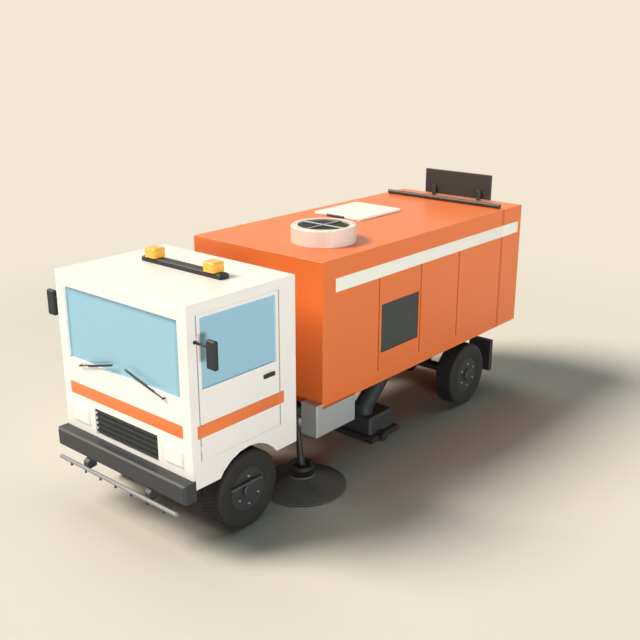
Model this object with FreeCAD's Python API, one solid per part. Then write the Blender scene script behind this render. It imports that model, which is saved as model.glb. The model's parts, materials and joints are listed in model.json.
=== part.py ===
"""Street sweeper truck: forward-control chassis, two-seat cab, tipping sweepings hopper,
side brooms, suction mouths and a front spray bar.

Millimetres.  +Z is up, the front of the truck points along -Y and its left side along +X.
The origin lies on the ground at the centre of the whole vehicle's box.
"""
import FreeCAD, Part
import math
import os

os.makedirs("parts", exist_ok=True)
V = FreeCAD.Vector
X_AXIS = V(1, 0, 0)
Y_AXIS = V(0, 1, 0)
Z_AXIS = V(0, 0, 1)

# ---------------------------------------------------------------- driving dimensions

# general gaps
MOVING_GAP = 5.0            # between pieces that move past each other
FIT_GAP = 0.08              # radial clearance of a shaft in its bore
SEAT_GAP = 0.3              # between pieces bolted or pressed together

# lengths along the truck
HOPPER_LENGTH = 4500.0      # fixed part of the hopper, ahead of the tailgate
TAILGATE_LENGTH = 566.0
REAR_RIB = 20.0             # height of the tailgate's pressed ribs
CAB_TO_HOPPER = 525.0
CAB_LENGTH = 1741.0
BUMPER_DEPTH = 164.0
SPRAY_AHEAD = 40.0          # spray tube's centre ahead of the bumper
SPRAY_TUBE_R = 25.0
FRONT_AXLE_BEHIND_CAB_FRONT = 892.0
TIP_PIVOT_AHEAD_OF_GATE = 200.0 # tipping pivot ahead of the hopper's open end
REAR_AXLE_AHEAD_OF_PIVOT = 660.0

# widths and heights
CAB_HALF = 1212.0
CAB_BOTTOM = 857.0
CAB_TOP = 3060.0
CAB_WALL = 50.0
CAB_FLOOR_TOP = 1150.0
CAB_FLOOR_THICK = 30.0
HOPPER_HALF = 1200.0
HOPPER_BOTTOM = 1117.0
HOPPER_TOP = 3096.0
HOPPER_WALL = 40.0
BODY_EDGE_R = 8.0          # rounding of the hopper's and tailgate's outer edges
CAB_EDGE_R = 10.0           # rounding of the cab's upright corners and roof edges

# wheels
TYRE_R = 507.0
TYRE_WIDTH = 318.0
TYRE_FACE_R = 474.0         # where the flat side wall turns into the shoulder
SHOULDER = 34.0             # how far the shoulder slopes across the width
RIM_R = 286.0
RIM_WALL = 24.0
RIM_WIDTH = 288.0
DISC_THICK = 17.0
DISC_OUT = 142.0            # outer face of the disc from the wheel's middle plane
HUB_R = 110.0
HUB_IN = 60.0               # hub's inner end from the wheel's middle plane
HUB_CAP_R = 104.0
HUB_CAP_OUT = 192.0
SPINDLE_R = 40.0
WHEEL_FACE_X = 1195.0       # outer side wall of every tyre
KINGPIN_X = 880.0
KINGPIN_R = 20.0
EYE_R = 45.0
EYE_HEIGHT = 150.0
FORK_THICK = 32.0
STEP_HALF = 255.0           # step bar bolted across each front hub
STEP_UP = 119.0
STEP_AHEAD = 65.0           # step bar's middle ahead of the axle
STEP_DEPTH = 40.0
STEP_THICK = 24.0
STEP_FOOT_HALF = 20.0
STEP_BEVEL = 6.0
STUD_CIRCLE_R = 185.0

# chassis
RAIL_OUT = 430.0            # outer face of each side rail
RAIL_BOTTOM = 862.0
RAIL_TOP = 1105.0
RAIL_FLANGE = 80.0
RAIL_SHEET = 10.0
RAIL_SETBACK = 70.0         # rails start this far behind the cab's front
TIP_PIVOT_Z = 1000.0
TIP_PIN_R = 35.0
TIP_LUG_R = 62.0
TIP_LUG_IN = 270.0
TIP_LUG_OUT = 330.0

# ---------------------------------------------------------------- places that follow

FRONT_REACH = SPRAY_TUBE_R + SPRAY_AHEAD + BUMPER_DEPTH + CAB_LENGTH + CAB_TO_HOPPER
REAR_REACH = HOPPER_LENGTH + MOVING_GAP + TAILGATE_LENGTH + REAR_RIB
HOPPER_FRONT = (FRONT_REACH - REAR_REACH) / 2
HOPPER_REAR = HOPPER_FRONT + HOPPER_LENGTH
CAB_REAR = HOPPER_FRONT - CAB_TO_HOPPER
CAB_FRONT = CAB_REAR - CAB_LENGTH
FRONT_AXLE = CAB_FRONT + FRONT_AXLE_BEHIND_CAB_FRONT
TIP_PIVOT = HOPPER_REAR - TIP_PIVOT_AHEAD_OF_GATE
REAR_AXLE = TIP_PIVOT - REAR_AXLE_AHEAD_OF_PIVOT
WHEEL_X = WHEEL_FACE_X - TYRE_WIDTH / 2
TAILGATE_FRONT = HOPPER_REAR + MOVING_GAP
TAILGATE_REAR = TAILGATE_FRONT + TAILGATE_LENGTH


# ---------------------------------------------------------------- shapes and saving

def box(x0, x1, y0, y1, z0, z1):
    return Part.makeBox(x1 - x0, y1 - y0, z1 - z0, V(x0, y0, z0))


def rod(start, end, radius):
    run = end.sub(start)
    return Part.makeCylinder(radius, run.Length, start, run)


def prism(points, direction, length):
    """Closed outline of points pushed along a direction."""
    face = Part.Face(Part.makePolygon(points + [points[0]]))
    return face.extrude(V(direction).multiply(length))


def side_prism(outline_yz, x0, x1):
    return prism([V(x0, y, z) for y, z in outline_yz], X_AXIS, x1 - x0)


def front_prism(outline_xz, y0, y1):
    return prism([V(x, y0, z) for x, z in outline_xz], Y_AXIS, y1 - y0)


def turned(profile, centre, axis):
    """Solid of revolution: profile holds (along the axis, radius) points."""
    across = Z_AXIS if axis != Z_AXIS else X_AXIS
    points = [centre + V(axis).multiply(a) + V(across).multiply(r) for a, r in profile]
    face = Part.Face(Part.makePolygon(points + [points[0]]))
    return face.revolve(centre, axis, 360)


def chamfered(solid, size, keep_edge):
    edges = [e for e in solid.Edges if keep_edge(e)]
    return solid.makeChamfer(size, edges)


def rounded(solid, radius, keep_edge):
    edges = [e for e in solid.Edges if keep_edge(e)]
    return solid.makeFillet(radius, edges)


def upright(edge):
    return edge.BoundBox.ZLength > 1 and edge.BoundBox.XLength + edge.BoundBox.YLength < 1


def other_side(shape):
    return shape.mirror(V(0, 0, 0), X_AXIS)


def both_sides(shape):
    return [shape, other_side(shape)]


def fused(shapes):
    whole = shapes[0]
    for shape in shapes[1:]:
        whole = whole.fuse(shape)
    return whole.removeSplitter()


def cut_all(shape, tools):
    for tool in tools:
        shape = shape.cut(tool)
    return shape


def save(node, solids):
    shape = solids[0] if len(solids) == 1 else Part.makeCompound(solids)
    shape.exportStep("parts/" + node + ".step")


# ---------------------------------------------------------------- wheels

def tyre(centre, side):
    half = TYRE_WIDTH / 2
    bore = RIM_R + SEAT_GAP
    profile = [(-half, bore), (-half, TYRE_FACE_R), (SHOULDER - half, TYRE_R),
               (half - SHOULDER, TYRE_R), (half, TYRE_FACE_R), (half, bore)]
    return turned([(side * a, r) for a, r in profile], centre, X_AXIS)


def rim(centre, side, spindle_end):
    """Barrel, disc, hub and cap in one turned solid with a blind bore for its spindle."""
    half = RIM_WIDTH / 2
    inside = RIM_R - RIM_WALL
    disc_in = DISC_OUT - DISC_THICK
    bore = SPINDLE_R + FIT_GAP
    profile = [(-HUB_IN, bore), (-HUB_IN, HUB_R), (disc_in, HUB_R), (disc_in, inside),
               (-half, inside), (-half, RIM_R), (half, RIM_R), (half, inside),
               (DISC_OUT, inside), (DISC_OUT, HUB_CAP_R), (HUB_CAP_OUT - 14, HUB_CAP_R),
               (HUB_CAP_OUT, HUB_CAP_R - 24), (HUB_CAP_OUT, 0), (spindle_end, 0),
               (spindle_end, bore)]
    return turned([(side * a, r) for a, r in profile], centre, X_AXIS)


def hub_step(centre, side):
    """Flat step bar on two feet over the upper studs of a front wheel."""
    out = WHEEL_X + DISC_OUT
    up = centre.z + STEP_UP
    bar_in = WHEEL_FACE_X + MOVING_GAP
    middle = centre.y - STEP_AHEAD
    bar = box(bar_in, bar_in + STEP_DEPTH, middle - STEP_HALF, middle + STEP_HALF,
              up - STEP_THICK / 2, up + STEP_THICK / 2)
    bar = chamfered(bar, STEP_BEVEL, lambda e: e.BoundBox.XMin > bar_in + 1)
    stud_y = STUD_CIRCLE_R * math.cos(math.radians(30))
    stud_z = centre.z + STUD_CIRCLE_R * math.sin(math.radians(30))
    feet = []
    for along in (-stud_y, stud_y):
        foot_y = centre.y + along
        feet.append(box(out, bar_in, foot_y - STEP_FOOT_HALF, foot_y + STEP_FOOT_HALF,
                        stud_z - STEP_FOOT_HALF, up + STEP_THICK / 2))
    step = fused([bar] + feet)
    return step if side > 0 else other_side(step)


SPINDLE_END = DISC_OUT - 25         # spindle's outer end from the wheel's middle plane
SPINDLE_PLAY = 2.0

WHEELS = [                          # node ending, side of the truck, axle's place, has a step
    ("front_left", 1, FRONT_AXLE, True),
    ("front_right", -1, FRONT_AXLE, True),
    ("rear_left", 1, REAR_AXLE, False),
    ("rear_right", -1, REAR_AXLE, False),
]
for ending, side, axle_y, has_step in WHEELS:
    centre = V(side * WHEEL_X, axle_y, TYRE_R)
    wheel_rim = rim(centre, side, SPINDLE_END + SPINDLE_PLAY)
    if has_step:
        wheel_rim = fused([wheel_rim, hub_step(V(WHEEL_X, axle_y, TYRE_R), side)])
    save("rim_" + ending, [wheel_rim])
    save("tyre_" + ending, [tyre(centre, side)])


# ---------------------------------------------------------------- axles and knuckles

BEAM_DROP = 70.0            # middle of the front beam below the wheel centres
BEAM_HALF_HEIGHT = 45.0
BEAM_HALF_DEPTH = 50.0
BEAM_WEB = 24.0
BEAM_FLANGE = 20.0
SPRING_X = RAIL_OUT - RAIL_FLANGE / 2
SPRING_HALF_WIDTH = 38.0
SPRING_THICK = 60.0
FRONT_SPRING_HALF = 640.0
REAR_SPRING_HALF = 600.0
SPRING_EYE_R = 32.0
SPRING_EYE_Z = RAIL_BOTTOM - 110.0
DIFF_R = 210.0
REAR_TUBE_R = 72.0
CLAMP_HALF = 75.0
NOSE_R = 66.0
NOSE_END = 290.0            # pinion nose's end from the middle of the differential
GEARBOX_REAR = CAB_REAR + 119.0
GEARBOX_BOTTOM = 690.0
GEARBOX_TOP = 960.0


def shaft_line():
    """Where the propeller shaft leaves the gearbox and the way it points."""
    start = V(0, GEARBOX_REAR, (GEARBOX_BOTTOM + GEARBOX_TOP) / 2)
    run = V(0, REAR_AXLE, TYRE_R).sub(start)
    return start, run.Length, V(run).normalize()


def leaf_spring(axle_y, half, seat_z):
    """Bowed leaf pack with an eye at each end, clamped on its axle at the seat."""
    x0 = SPRING_X - SPRING_HALF_WIDTH
    low = seat_z + SPRING_THICK / 2
    eye_front = V(x0, axle_y - half, SPRING_EYE_Z)
    eye_rear = V(x0, axle_y + half, SPRING_EYE_Z)
    thick = SPRING_THICK / 2
    bow_top = Part.Arc(eye_front + V(0, 0, 10), V(x0, axle_y, low + thick), eye_rear + V(0, 0, 10))
    bow_low = Part.Arc(eye_rear - V(0, 0, 14), V(x0, axle_y, low - thick), eye_front - V(0, 0, 14))
    rear_end = Part.LineSegment(eye_rear + V(0, 0, 10), eye_rear - V(0, 0, 14))
    front_end = Part.LineSegment(eye_front - V(0, 0, 14), eye_front + V(0, 0, 10))
    wire = Part.Wire([bow_top.toShape(), rear_end.toShape(), bow_low.toShape(),
                      front_end.toShape()])
    pack = Part.Face(wire).extrude(V(2 * SPRING_HALF_WIDTH, 0, 0))
    eyes = [rod(eye, eye + V(2 * SPRING_HALF_WIDTH, 0, 0), SPRING_EYE_R)
            for eye in (eye_front, eye_rear)]
    clamp = box(x0 - 12, x0 + 2 * SPRING_HALF_WIDTH + 12, axle_y - CLAMP_HALF,
                axle_y + CLAMP_HALF, seat_z - 18, low + thick + 18)
    return fused([pack, clamp] + eyes)


def front_axle():
    """Dropped I-beam between two kingpin eyes, with its leaf springs."""
    mid = TYRE_R - BEAM_DROP
    bend_in = KINGPIN_X - 260
    bend_out = KINGPIN_X - 110
    end = KINGPIN_X
    half = BEAM_HALF_HEIGHT
    upper = [(-end, TYRE_R + half), (-bend_out, TYRE_R + half), (-bend_in, mid + half),
             (bend_in, mid + half), (bend_out, TYRE_R + half), (end, TYRE_R + half)]
    lower = [(x, z - 2 * half) for x, z in reversed(upper)]
    beam = front_prism(upper + lower, FRONT_AXLE - BEAM_HALF_DEPTH, FRONT_AXLE + BEAM_HALF_DEPTH)
    pockets = []
    pocket_depth = BEAM_HALF_DEPTH - BEAM_WEB / 2
    pocket_half = half - BEAM_FLANGE
    for face_y in (FRONT_AXLE - BEAM_HALF_DEPTH, FRONT_AXLE + BEAM_HALF_DEPTH - pocket_depth):
        pockets.append(box(-bend_in, bend_in, face_y, face_y + pocket_depth,
                           mid - pocket_half, mid + pocket_half))
    beam = cut_all(beam, pockets)
    eyes = []
    bores = []
    for side in (-1, 1):
        foot = V(side * KINGPIN_X, FRONT_AXLE, TYRE_R - EYE_HEIGHT / 2)
        eyes.append(Part.makeCylinder(EYE_R, EYE_HEIGHT, foot))
        bores.append(Part.makeCylinder(KINGPIN_R + FIT_GAP, EYE_HEIGHT, foot))
    beam = cut_all(fused([beam] + eyes), bores)
    spring = leaf_spring(FRONT_AXLE, FRONT_SPRING_HALF, mid + half)
    return fused([beam] + both_sides(spring))


def rear_axle():
    """Axle tube with its differential, two spindles and the leaf springs."""
    tube_end = WHEEL_X - HUB_IN - MOVING_GAP
    centre = V(0, REAR_AXLE, TYRE_R)
    tube = turned([(-tube_end, 0), (-tube_end, REAR_TUBE_R), (-DIFF_R, REAR_TUBE_R),
                   (-DIFF_R / 2, DIFF_R), (DIFF_R / 2, DIFF_R), (DIFF_R, REAR_TUBE_R),
                   (tube_end, REAR_TUBE_R), (tube_end, 0)], centre, X_AXIS)
    tip = WHEEL_X + SPINDLE_END
    spindle = rod(V(-tip, REAR_AXLE, TYRE_R), V(tip, REAR_AXLE, TYRE_R), SPINDLE_R)
    start, length, along = shaft_line()
    nose = rod(centre - V(along).multiply(NOSE_END), centre, NOSE_R)
    spring = leaf_spring(REAR_AXLE, REAR_SPRING_HALF, TYRE_R + REAR_TUBE_R)
    return fused([tube, spindle, nose] + both_sides(spring))


def knuckle():
    """Forked knuckle round the beam's eye, with its kingpin and wheel spindle."""
    gap = EYE_HEIGHT / 2 + MOVING_GAP
    outer_x = WHEEL_X - HUB_IN - MOVING_GAP
    back_x = KINGPIN_X + EYE_R + MOVING_GAP
    arms = []
    for low in (TYRE_R - gap - FORK_THICK, TYRE_R + gap):
        arms.append(Part.makeCylinder(EYE_R, FORK_THICK, V(KINGPIN_X, FRONT_AXLE, low)))
        arms.append(box(KINGPIN_X, outer_x, FRONT_AXLE - EYE_R, FRONT_AXLE + EYE_R,
                        low, low + FORK_THICK))
    back = box(back_x, outer_x, FRONT_AXLE - EYE_R, FRONT_AXLE + EYE_R,
               TYRE_R - gap, TYRE_R + gap)
    pin = Part.makeCylinder(KINGPIN_R, 2 * gap, V(KINGPIN_X, FRONT_AXLE, TYRE_R - gap))
    spindle = rod(V(back_x, FRONT_AXLE, TYRE_R),
                  V(WHEEL_X + SPINDLE_END, FRONT_AXLE, TYRE_R), SPINDLE_R)
    return fused(arms + [back, pin, spindle])


save("front_axle", [front_axle()])
save("rear_axle", [rear_axle()])
save("knuckle_left", [knuckle()])
save("knuckle_right", [other_side(knuckle())])


# ---------------------------------------------------------------- chassis frame

RAIL_FRONT = CAB_FRONT + RAIL_SETBACK
RAIL_END = TIP_PIVOT + 45.0
RAIL_END_SLOPE = 40.0
HANGER_HALF = 40.0
CROSS_HEIGHT = 150.0
CROSS_TOP = RAIL_TOP - 25.0
CROSS_DEPTH = 70.0
RAM_HEAD_AHEAD_OF_PIVOT = 1200.0
RAM_SPAN = 1600.0           # along the truck, between the ram's two eyes
RAM_HEAD = TIP_PIVOT - RAM_HEAD_AHEAD_OF_PIVOT
RAM_HEAD_Z = 1055.0
RAM_BASE = RAM_HEAD - RAM_SPAN
RAM_BASE_Z = 905.0
RAM_PIN_R = 22.0
RAM_EYE_R = 45.0
RAM_EYE_HALF = 35.0
RAM_EAR = 25.0
LOCKER_ARM = [120.0, 560.0]         # arms under each side locker, behind the hopper's front
BROOM_PIVOT_X = 520.0
BROOM_PIVOT_AHEAD = 760.0           # swing pin ahead of the hopper's front
BROOM_PIVOT = HOPPER_FRONT - BROOM_PIVOT_AHEAD
BROOM_PIVOT_Z = 985.0

NOSE_CROSS_SETBACK = 80.0
CAB_CROSS_BEHIND = 159.0
RAM_CROSS_AHEAD = 466.0
AXLE_CROSS_AHEAD = 1006.0
TAIL_CROSS_AHEAD = 266.0

CROSSMEMBERS = [                    # front faces
    RAIL_FRONT + NOSE_CROSS_SETBACK,
    CAB_REAR + CAB_CROSS_BEHIND,
    RAM_BASE - RAM_CROSS_AHEAD,
    TIP_PIVOT - AXLE_CROSS_AHEAD,
    TIP_PIVOT - TAIL_CROSS_AHEAD,
]


def chassis_frame():
    """Two channel rails, crossmembers, spring hangers and the tipping pivot tube."""
    flange_in = RAIL_OUT - RAIL_FLANGE
    outline = [(RAIL_FRONT, RAIL_BOTTOM), (RAIL_END, RAIL_BOTTOM),
               (RAIL_END, RAIL_TOP - RAIL_END_SLOPE), (RAIL_END - RAIL_END_SLOPE, RAIL_TOP),
               (RAIL_FRONT, RAIL_TOP)]
    rail = side_prism(outline, flange_in, RAIL_OUT)
    channel = box(flange_in - 1, RAIL_OUT - RAIL_SHEET, RAIL_FRONT - 1, TIP_PIVOT - 120,
                  RAIL_BOTTOM + RAIL_SHEET, RAIL_TOP - RAIL_SHEET)
    rail = rail.cut(channel)
    web = RAIL_OUT - RAIL_SHEET
    pieces = both_sides(rail)
    for y in CROSSMEMBERS:
        pieces.append(box(-web, web, y, y + CROSS_DEPTH, CROSS_TOP - CROSS_HEIGHT, CROSS_TOP))
    pieces.append(rod(V(-flange_in, TIP_PIVOT, TIP_PIVOT_Z), V(flange_in, TIP_PIVOT, TIP_PIVOT_Z),
                      TIP_PIN_R))
    # hangers that hold the spring eyes, one each side of the eye
    for axle_y, half in ((FRONT_AXLE, FRONT_SPRING_HALF), (REAR_AXLE, REAR_SPRING_HALF)):
        for along in (-half, half):
            y = axle_y + along
            for x0 in (SPRING_X - SPRING_HALF_WIDTH - 16, SPRING_X + SPRING_HALF_WIDTH + SEAT_GAP):
                plate = box(x0, x0 + 16 - SEAT_GAP, y - HANGER_HALF, y + HANGER_HALF,
                            SPRING_EYE_Z - HANGER_HALF, RAIL_BOTTOM + RAIL_SHEET)
                pieces += both_sides(plate)
    # ears and pin of the tipping ram's base, on a crossmember of their own
    ram_cross = box(-web, web, RAM_BASE - 70 - CROSS_DEPTH, RAM_BASE - 70, RAM_BASE_Z - 50,
                    CROSS_TOP)
    pieces.append(ram_cross)
    ear_in = RAM_EYE_HALF + MOVING_GAP
    for x0 in (ear_in, -ear_in - RAM_EAR):
        ear = box(x0, x0 + RAM_EAR, RAM_BASE - 75, RAM_BASE, RAM_BASE_Z - 45, RAM_BASE_Z + 45)
        pieces.append(ear)
        pieces.append(rod(V(x0, RAM_BASE, RAM_BASE_Z), V(x0 + RAM_EAR, RAM_BASE, RAM_BASE_Z), 45))
    pin_half = ear_in + RAM_EAR
    pieces.append(rod(V(-pin_half, RAM_BASE, RAM_BASE_Z), V(pin_half, RAM_BASE, RAM_BASE_Z),
                      RAM_PIN_R))
    return fused(pieces)


# ---------------------------------------------------------------- engine and driveline

ENGINE_HALF = 300.0
ENGINE_SETBACK = 320.0              # engine block behind the cab's front
ENGINE_LENGTH = 1010.0
ENGINE_FRONT = CAB_FRONT + ENGINE_SETBACK
ENGINE_REAR = ENGINE_FRONT + ENGINE_LENGTH
ENGINE_BOTTOM = 590.0
ENGINE_BELOW_FLOOR = 20.0
ENGINE_TOP = CAB_FLOOR_TOP - CAB_FLOOR_THICK - ENGINE_BELOW_FLOOR
GEARBOX_HALF = 190.0
SHAFT_R = 45.0


def driveline():
    """Engine block, gearbox and propeller shaft, ending at the differential."""
    engine = box(-ENGINE_HALF, ENGINE_HALF, ENGINE_FRONT, ENGINE_REAR, ENGINE_BOTTOM, ENGINE_TOP)
    gearbox = box(-GEARBOX_HALF, GEARBOX_HALF, ENGINE_REAR, GEARBOX_REAR, GEARBOX_BOTTOM,
                  GEARBOX_TOP)
    start, length, along = shaft_line()
    shaft = rod(start - V(along).multiply(30),
                start + V(along).multiply(length - NOSE_END - SEAT_GAP), SHAFT_R)
    return fused([engine, gearbox, shaft])


save("driveline", [driveline()])


# ---------------------------------------------------------------- cab

DOOR_SETBACK = 142.0                # door's front edge behind the cab's front
DOOR_LENGTH = 1297.0
DOOR_BELOW_TOP = 122.0
DOOR_FRONT = CAB_FRONT + DOOR_SETBACK
DOOR_REAR = DOOR_FRONT + DOOR_LENGTH
DOOR_BOTTOM = 1182.0
DOOR_TOP = CAB_TOP - DOOR_BELOW_TOP
WINDOW_BORDER = 50.0                # door frame round the side window
WINDOW_FRONT = DOOR_FRONT + WINDOW_BORDER
WINDOW_REAR = DOOR_REAR - WINDOW_BORDER
WINDOW_BOTTOM = 2050.0
WINDOW_TOP = DOOR_TOP - WINDOW_BORDER
SCREEN_PILLAR = 155.0
SCREEN_BELOW_TOP = 181.0
SCREEN_HALF = CAB_HALF - SCREEN_PILLAR
SCREEN_BOTTOM = 1950.0
SCREEN_TOP = CAB_TOP - SCREEN_BELOW_TOP
BACK_WINDOW_HALF = 620.0
BACK_WINDOW_BOTTOM = 2120.0
BACK_WINDOW_BELOW_TOP = 340.0
BACK_WINDOW_TOP = CAB_TOP - BACK_WINDOW_BELOW_TOP
ARCH_R = 597.0
GRILLE_FROM_SIDE = 605.0
GRILLE_HALF = CAB_HALF - GRILLE_FROM_SIDE
GRILLE_BOTTOM = 1026.0
GRILLE_TOP = 1372.0
GLASS_THICK = 8.0
HINGE_PIN_R = 6.0
HINGE_BARREL_R = 12.0
HINGE_HEIGHT = 60.0
HINGE_LUG = 20.0
LOW_HINGE_UP = 180.0
HIGH_HINGE_DOWN = 260.0
HINGES_UP = [DOOR_BOTTOM + LOW_HINGE_UP, DOOR_TOP - HIGH_HINGE_DOWN]
DOOR_EDGE_FRONT = DOOR_FRONT + MOVING_GAP
LOW_ARCH = 12               # straight runs in the wheel arch's half circle


def wheel_arch():
    """Many-sided arch over a front wheel, cut through a side wall."""
    corners = []
    for step in range(LOW_ARCH + 1):
        turn = math.pi * step / LOW_ARCH
        corners.append((FRONT_AXLE - ARCH_R * math.cos(turn), TYRE_R + ARCH_R * math.sin(turn)))
    return side_prism(corners, CAB_HALF - CAB_WALL - 1, CAB_HALF + 1)


def cab_shell():
    """Front, sides and back of the cab, open above, with door and window openings."""
    inner = CAB_HALF - CAB_WALL
    top = CAB_TOP - CAB_WALL
    walls = box(-CAB_HALF, CAB_HALF, CAB_FRONT, CAB_REAR, CAB_BOTTOM, top)
    walls = rounded(walls, CAB_EDGE_R, upright)
    hollow = box(-inner, inner, CAB_FRONT + CAB_WALL, CAB_REAR - CAB_WALL, CAB_BOTTOM - 1, top + 1)
    through = CAB_WALL + 1
    tools = [hollow,
             box(-SCREEN_HALF, SCREEN_HALF, CAB_FRONT - 1, CAB_FRONT + through, SCREEN_BOTTOM,
                 SCREEN_TOP),
             box(-BACK_WINDOW_HALF, BACK_WINDOW_HALF, CAB_REAR - through, CAB_REAR + 1,
                 BACK_WINDOW_BOTTOM, BACK_WINDOW_TOP),
             box(-GRILLE_HALF, GRILLE_HALF, CAB_FRONT - 1, CAB_FRONT + through, GRILLE_BOTTOM,
                 GRILLE_TOP),
             box(-inner, inner, CAB_REAR - through, CAB_REAR + 1, CAB_BOTTOM - 1,
                 CAB_FLOOR_TOP - CAB_FLOOR_THICK)]
    door_hole = box(inner - 1, CAB_HALF + 1, DOOR_FRONT, DOOR_REAR, DOOR_BOTTOM, DOOR_TOP)
    tools += both_sides(door_hole)
    tools += both_sides(wheel_arch())
    shell = cut_all(walls, tools)
    for up in HINGES_UP:
        room = Part.makeCylinder(HINGE_BARREL_R + MOVING_GAP, HINGE_HEIGHT + 2 * MOVING_GAP,
                                 V(CAB_HALF, DOOR_EDGE_FRONT, up - HINGE_HEIGHT - MOVING_GAP))
        shell = cut_all(shell, both_sides(room))
        lug = Part.makeCylinder(HINGE_BARREL_R, HINGE_LUG, V(CAB_HALF, DOOR_EDGE_FRONT,
                                                             up + MOVING_GAP))
        root = box(CAB_HALF - HINGE_BARREL_R, CAB_HALF, DOOR_FRONT - 2, DOOR_EDGE_FRONT,
                   up + MOVING_GAP, up + MOVING_GAP + HINGE_LUG)
        pin = Part.makeCylinder(HINGE_PIN_R, HINGE_HEIGHT + MOVING_GAP,
                                V(CAB_HALF, DOOR_EDGE_FRONT, up - HINGE_HEIGHT))
        for piece in (lug, root, pin):
            shell = fused([shell] + both_sides(piece))
    return shell


def door():
    """Left door leaf with its window opening and two hinge barrels."""
    inner = CAB_HALF - CAB_WALL
    leaf = box(inner, CAB_HALF, DOOR_EDGE_FRONT, DOOR_REAR - MOVING_GAP,
               DOOR_BOTTOM + MOVING_GAP, DOOR_TOP - MOVING_GAP)
    leaf = leaf.cut(box(inner - 1, CAB_HALF + 1, WINDOW_FRONT, WINDOW_REAR, WINDOW_BOTTOM,
                        WINDOW_TOP))
    for up in HINGES_UP:
        notch = Part.makeCylinder(HINGE_BARREL_R + MOVING_GAP, HINGE_LUG + 2 * MOVING_GAP,
                                  V(CAB_HALF, DOOR_EDGE_FRONT, up))
        leaf = leaf.cut(notch)
        barrel = Part.makeCylinder(HINGE_BARREL_R, HINGE_HEIGHT,
                                   V(CAB_HALF, DOOR_EDGE_FRONT, up - HINGE_HEIGHT))
        leaf = fused([leaf, barrel])
        leaf = leaf.cut(Part.makeCylinder(HINGE_PIN_R + FIT_GAP, HINGE_HEIGHT,
                                          V(CAB_HALF, DOOR_EDGE_FRONT, up - HINGE_HEIGHT)))
    return leaf


def door_glass():
    middle = CAB_HALF - CAB_WALL / 2
    return box(middle - GLASS_THICK / 2, middle + GLASS_THICK / 2, WINDOW_FRONT, WINDOW_REAR,
               WINDOW_BOTTOM, WINDOW_TOP)


def cab_floor():
    """Floor pan over the engine, seated between the cab's walls."""
    inner = CAB_HALF - CAB_WALL
    return box(-inner, inner, CAB_FRONT + CAB_WALL, CAB_REAR - CAB_WALL,
               CAB_FLOOR_TOP - CAB_FLOOR_THICK, CAB_FLOOR_TOP)


def cab_roof():
    """Roof panel, its corners and upper edges rounded to match the walls below."""
    low = CAB_TOP - CAB_WALL
    roof = box(-CAB_HALF, CAB_HALF, CAB_FRONT, CAB_REAR, low, CAB_TOP)
    return rounded(roof, CAB_EDGE_R, lambda e: e.BoundBox.ZMax > low + 1)


def cab_glass():
    """Windscreen, set back in its opening, and the window in the back wall."""
    set_back = CAB_FRONT + CAB_WALL - 2 * GLASS_THICK
    screen = box(-SCREEN_HALF, SCREEN_HALF, set_back, set_back + GLASS_THICK, SCREEN_BOTTOM,
                 SCREEN_TOP)
    middle = CAB_REAR - CAB_WALL / 2
    back = box(-BACK_WINDOW_HALF, BACK_WINDOW_HALF, middle - GLASS_THICK / 2,
               middle + GLASS_THICK / 2, BACK_WINDOW_BOTTOM, BACK_WINDOW_TOP)
    return [screen, back]


SLATS = 5
SLAT_HEIGHT = 34.0
GRILLE_BACK = 10.0
GRILLE_RECESS = 12.0


def grille():
    """Back plate with a row of level slats that stop short of the cab's front."""
    back_y = CAB_FRONT + CAB_WALL - GRILLE_BACK
    pieces = [box(-GRILLE_HALF, GRILLE_HALF, back_y, CAB_FRONT + CAB_WALL, GRILLE_BOTTOM,
                  GRILLE_TOP)]
    pitch = (GRILLE_TOP - GRILLE_BOTTOM) / SLATS
    for number in range(SLATS):
        low = GRILLE_BOTTOM + pitch * number + (pitch - SLAT_HEIGHT) / 2
        outline = [(CAB_FRONT + GRILLE_RECESS, low + 8), (back_y, low),
                   (back_y, low + SLAT_HEIGHT), (CAB_FRONT + GRILLE_RECESS, low + SLAT_HEIGHT)]
        pieces.append(side_prism(outline, -GRILLE_HALF, GRILLE_HALF))
    return fused(pieces)


LAMP_FROM_SIDE = 167.0
LAMP_LENGTH = 325.0
LAMP_OUT = CAB_HALF - LAMP_FROM_SIDE
LAMP_IN = LAMP_OUT - LAMP_LENGTH
LAMP_BOTTOM = 1110.0
LAMP_TOP = 1305.0
LAMP_PROUD = 22.0


def headlamp():
    lamp = box(LAMP_IN, LAMP_OUT, CAB_FRONT - LAMP_PROUD, CAB_FRONT, LAMP_BOTTOM, LAMP_TOP)
    front = CAB_FRONT - LAMP_PROUD
    return chamfered(lamp, 8, lambda e: e.BoundBox.YMax < front + 1)


BUMPER_WRAP = 23.0          # bumper wider than the cab on each side
BUMPER_HALF = CAB_HALF + BUMPER_WRAP
BUMPER_BOTTOM = 737.0
BUMPER_TOP = 984.0
BUMPER_BEVEL = 26.0
BUMPER_RETURN = 22.0        # how far the bumper's ends wrap back past the cab's front
SPRAY_FROM_SIDE = 80.0
SPRAY_HALF = CAB_HALF - SPRAY_FROM_SIDE
SPRAY_Z = 620.0
NOZZLES = 7
NOZZLE_PITCH = 302.0
NOZZLE_R = 15.0
NOZZLE_LENGTH = 50.0
BRACKET_X = 600.0
BRACKET_WIDTH = 90.0


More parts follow.
